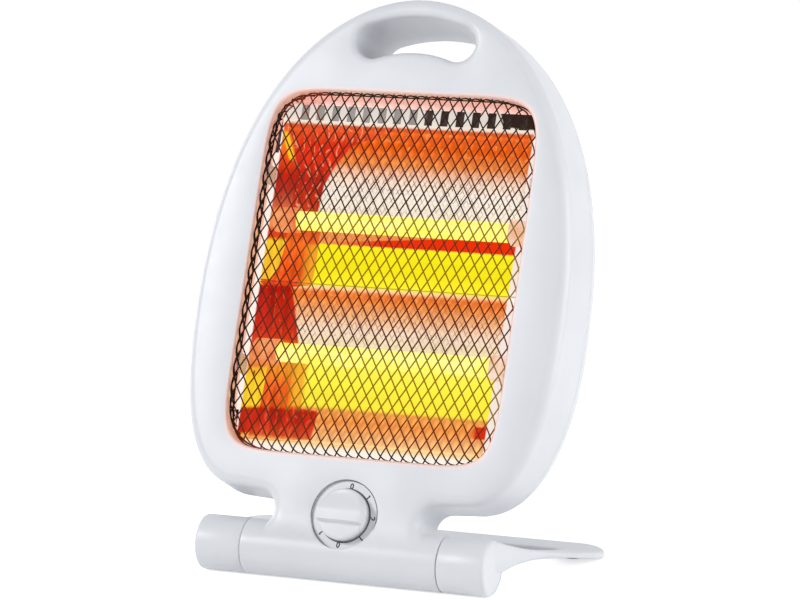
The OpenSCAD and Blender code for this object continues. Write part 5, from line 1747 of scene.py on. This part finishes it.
@dataclass
class Studio:
    """Camera, lamps, floor and surround. Lamps have a name, a place, watts and a width."""

    azimuth: float = 23.0
    elevation: float = 9.3
    distance: float = 2.230
    lens: float = 166.6
    aim: tuple[float, float] = (31.9, 153.4)
    sensor: float = 36.0
    surround: float = 0.42
    floor_glow: float = 0.62
    lit: tuple[float, float, float] = (0.0, 0.0, 0.16)
    lamps: tuple[tuple[str, tuple[float, float, float], float, float], ...] = (
        ("key", (-1.6, -1.8, 1.5), 30.0, 0.55), ("left_rim", (-2.4, 0.7, 0.5), 9.0, 1.0),
        ("right_fill", (2.2, 0.2, 0.9), 28.0, 1.4), ("front_fill", (0.1, -2.6, 0.4), 5.0, 1.8))

    def camera(self) -> None:
        """Sets the camera where the photograph was taken from.

        It looks along a line at the azimuth and elevation, at a point that lies to the right of
        and above the hinge's middle by the two aim sizes in the picture's plane.
        """
        a, e = math.radians(self.azimuth), math.radians(self.elevation)
        ahead = Vector((-math.sin(a) * math.cos(e), math.cos(a) * math.cos(e), -math.sin(e)))
        right = Vector((math.cos(a), math.sin(a), 0.0))
        above = right.cross(ahead)
        start = Vector((0.0, LEVEL.hinge[0], LEVEL.hinge[1]))
        aim = start + right * self.aim[0] * MM + above * self.aim[1] * MM
        data = bpy.data.cameras.new("camera")
        data.lens, data.sensor_width, data.sensor_fit = self.lens, self.sensor, "HORIZONTAL"
        data.clip_end = 50.0
        camera = bpy.data.objects.new("camera", data)
        bpy.context.scene.collection.objects.link(camera)
        turn = Matrix((right, above, -ahead)).transposed().to_4x4()
        camera.matrix_world = Matrix.Translation(aim - ahead * self.distance) @ turn
        bpy.context.scene.camera = camera

    def lamp(self, name: str, place: tuple[float, float, float], power: float, size: float
             ) -> None:
        """A white area lamp that looks at the heater's middle.

        Args:
            name: the lamp's name.
            place: where it hangs, in metres.
            power: its watts.
            size: its width in metres.
        """
        data = bpy.data.lights.new(name, "AREA")
        data.energy, data.size = power, size
        lamp = bpy.data.objects.new(name, data)
        bpy.context.scene.collection.objects.link(lamp)
        lamp.location = place
        ahead = Vector(self.lit) - lamp.location
        lamp.rotation_euler = ahead.to_track_quat("-Z", "Y").to_euler()

    def floor(self) -> None:
        """A pale painted floor, flat and then bending up far behind by a square of the way.

        It shows nearly white to the camera, so that only the heater's shadow darkens it.
        """
        u, t = np.meshgrid(np.linspace(-5, 5, 21), np.linspace(0, 1, 61))
        y = -4 + 9 * t
        z = np.where(t > 0.75, 3.2 * ((t - 0.75) / 0.25) ** 2, 0.0)
        skin = Skin()
        skin.grid(np.stack([u, y, z], -1))
        mesh = bpy.data.meshes.new("studio_floor")
        mesh.from_pydata(skin.points[0].tolist(), [], skin.faces)
        made = bpy.data.objects.new("studio_floor", mesh)
        bpy.context.scene.collection.objects.link(made)
        material = bpy.data.materials.new("matt_floor_paint")
        material.use_nodes = True
        tree = material.node_tree
        shader = tree.nodes["Principled BSDF"]
        place = add_node(tree, "TexCoord", take="Object")
        cloud = add_node(tree, "TexNoise", {"Vector": place, "Scale": 3.0})
        base = add_node(tree, "ValToRGB", {0: cloud}, [(0.3, linear("#F4F4F5")),
                                                      (0.7, linear("#F8F8F9"))])
        tree.links.new(base, shader.inputs["Base Color"])
        shader.inputs["Roughness"].default_value = 0.9
        share = add_node(tree, "Math", {0: self.seen(tree), 1: self.floor_glow},
                         operation="MULTIPLY")
        tree.links.new(share, shader.inputs["Emission Strength"])
        shader.inputs["Emission Color"].default_value = (1, 1, 1, 1)
        mesh.materials.append(material)

    def seen(self, tree: Tree) -> Socket:
        """One for a ray that the eye sees: straight, in gloss or through glass; else nought."""
        most: Socket | float = 0.0
        for kind in ("Is Camera Ray", "Is Glossy Ray", "Is Transmission Ray"):
            ray = add_node(tree, "LightPath", take=kind)
            most = add_node(tree, "Math", {0: most, 1: ray}, operation="MAXIMUM")
        return most

    def world(self) -> None:
        """A soft even surround for the light, and plain white where the eye sees it."""
        world = bpy.data.worlds.new("surround")
        bpy.context.scene.world = world
        world.use_nodes = True
        tree = world.node_tree
        tree.nodes.clear()
        level = add_node(tree, "MapRange", {0: self.seen(tree), 3: self.surround, 4: 1.0})
        light = add_node(tree, "Background", {0: linear("#F7F9FF"), 1: level})
        add_node(tree, "OutputWorld", {0: light})

    def build(self) -> None:
        """Sets up the studio."""
        scene = bpy.context.scene
        scene.view_settings.view_transform = "Standard"
        self.camera()
        self.floor()
        self.world()
        for name, place, power, size in self.lamps:
            self.lamp(name, place, power, size)


def main() -> None:
    """Builds the heater piece by piece, dresses the frame, and sets up the studio."""
    logging.basicConfig(level=logging.INFO, format="%(name)s: %(message)s")
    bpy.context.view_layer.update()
    inside = Inside()
    inside.dress()
    inside.slot_light_and_shade()
    Casing().build()
    Guard().build()
    Dial().build()
    Stand().build()
    Studio().build()
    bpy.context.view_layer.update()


if __name__ == "__main__":
    main()
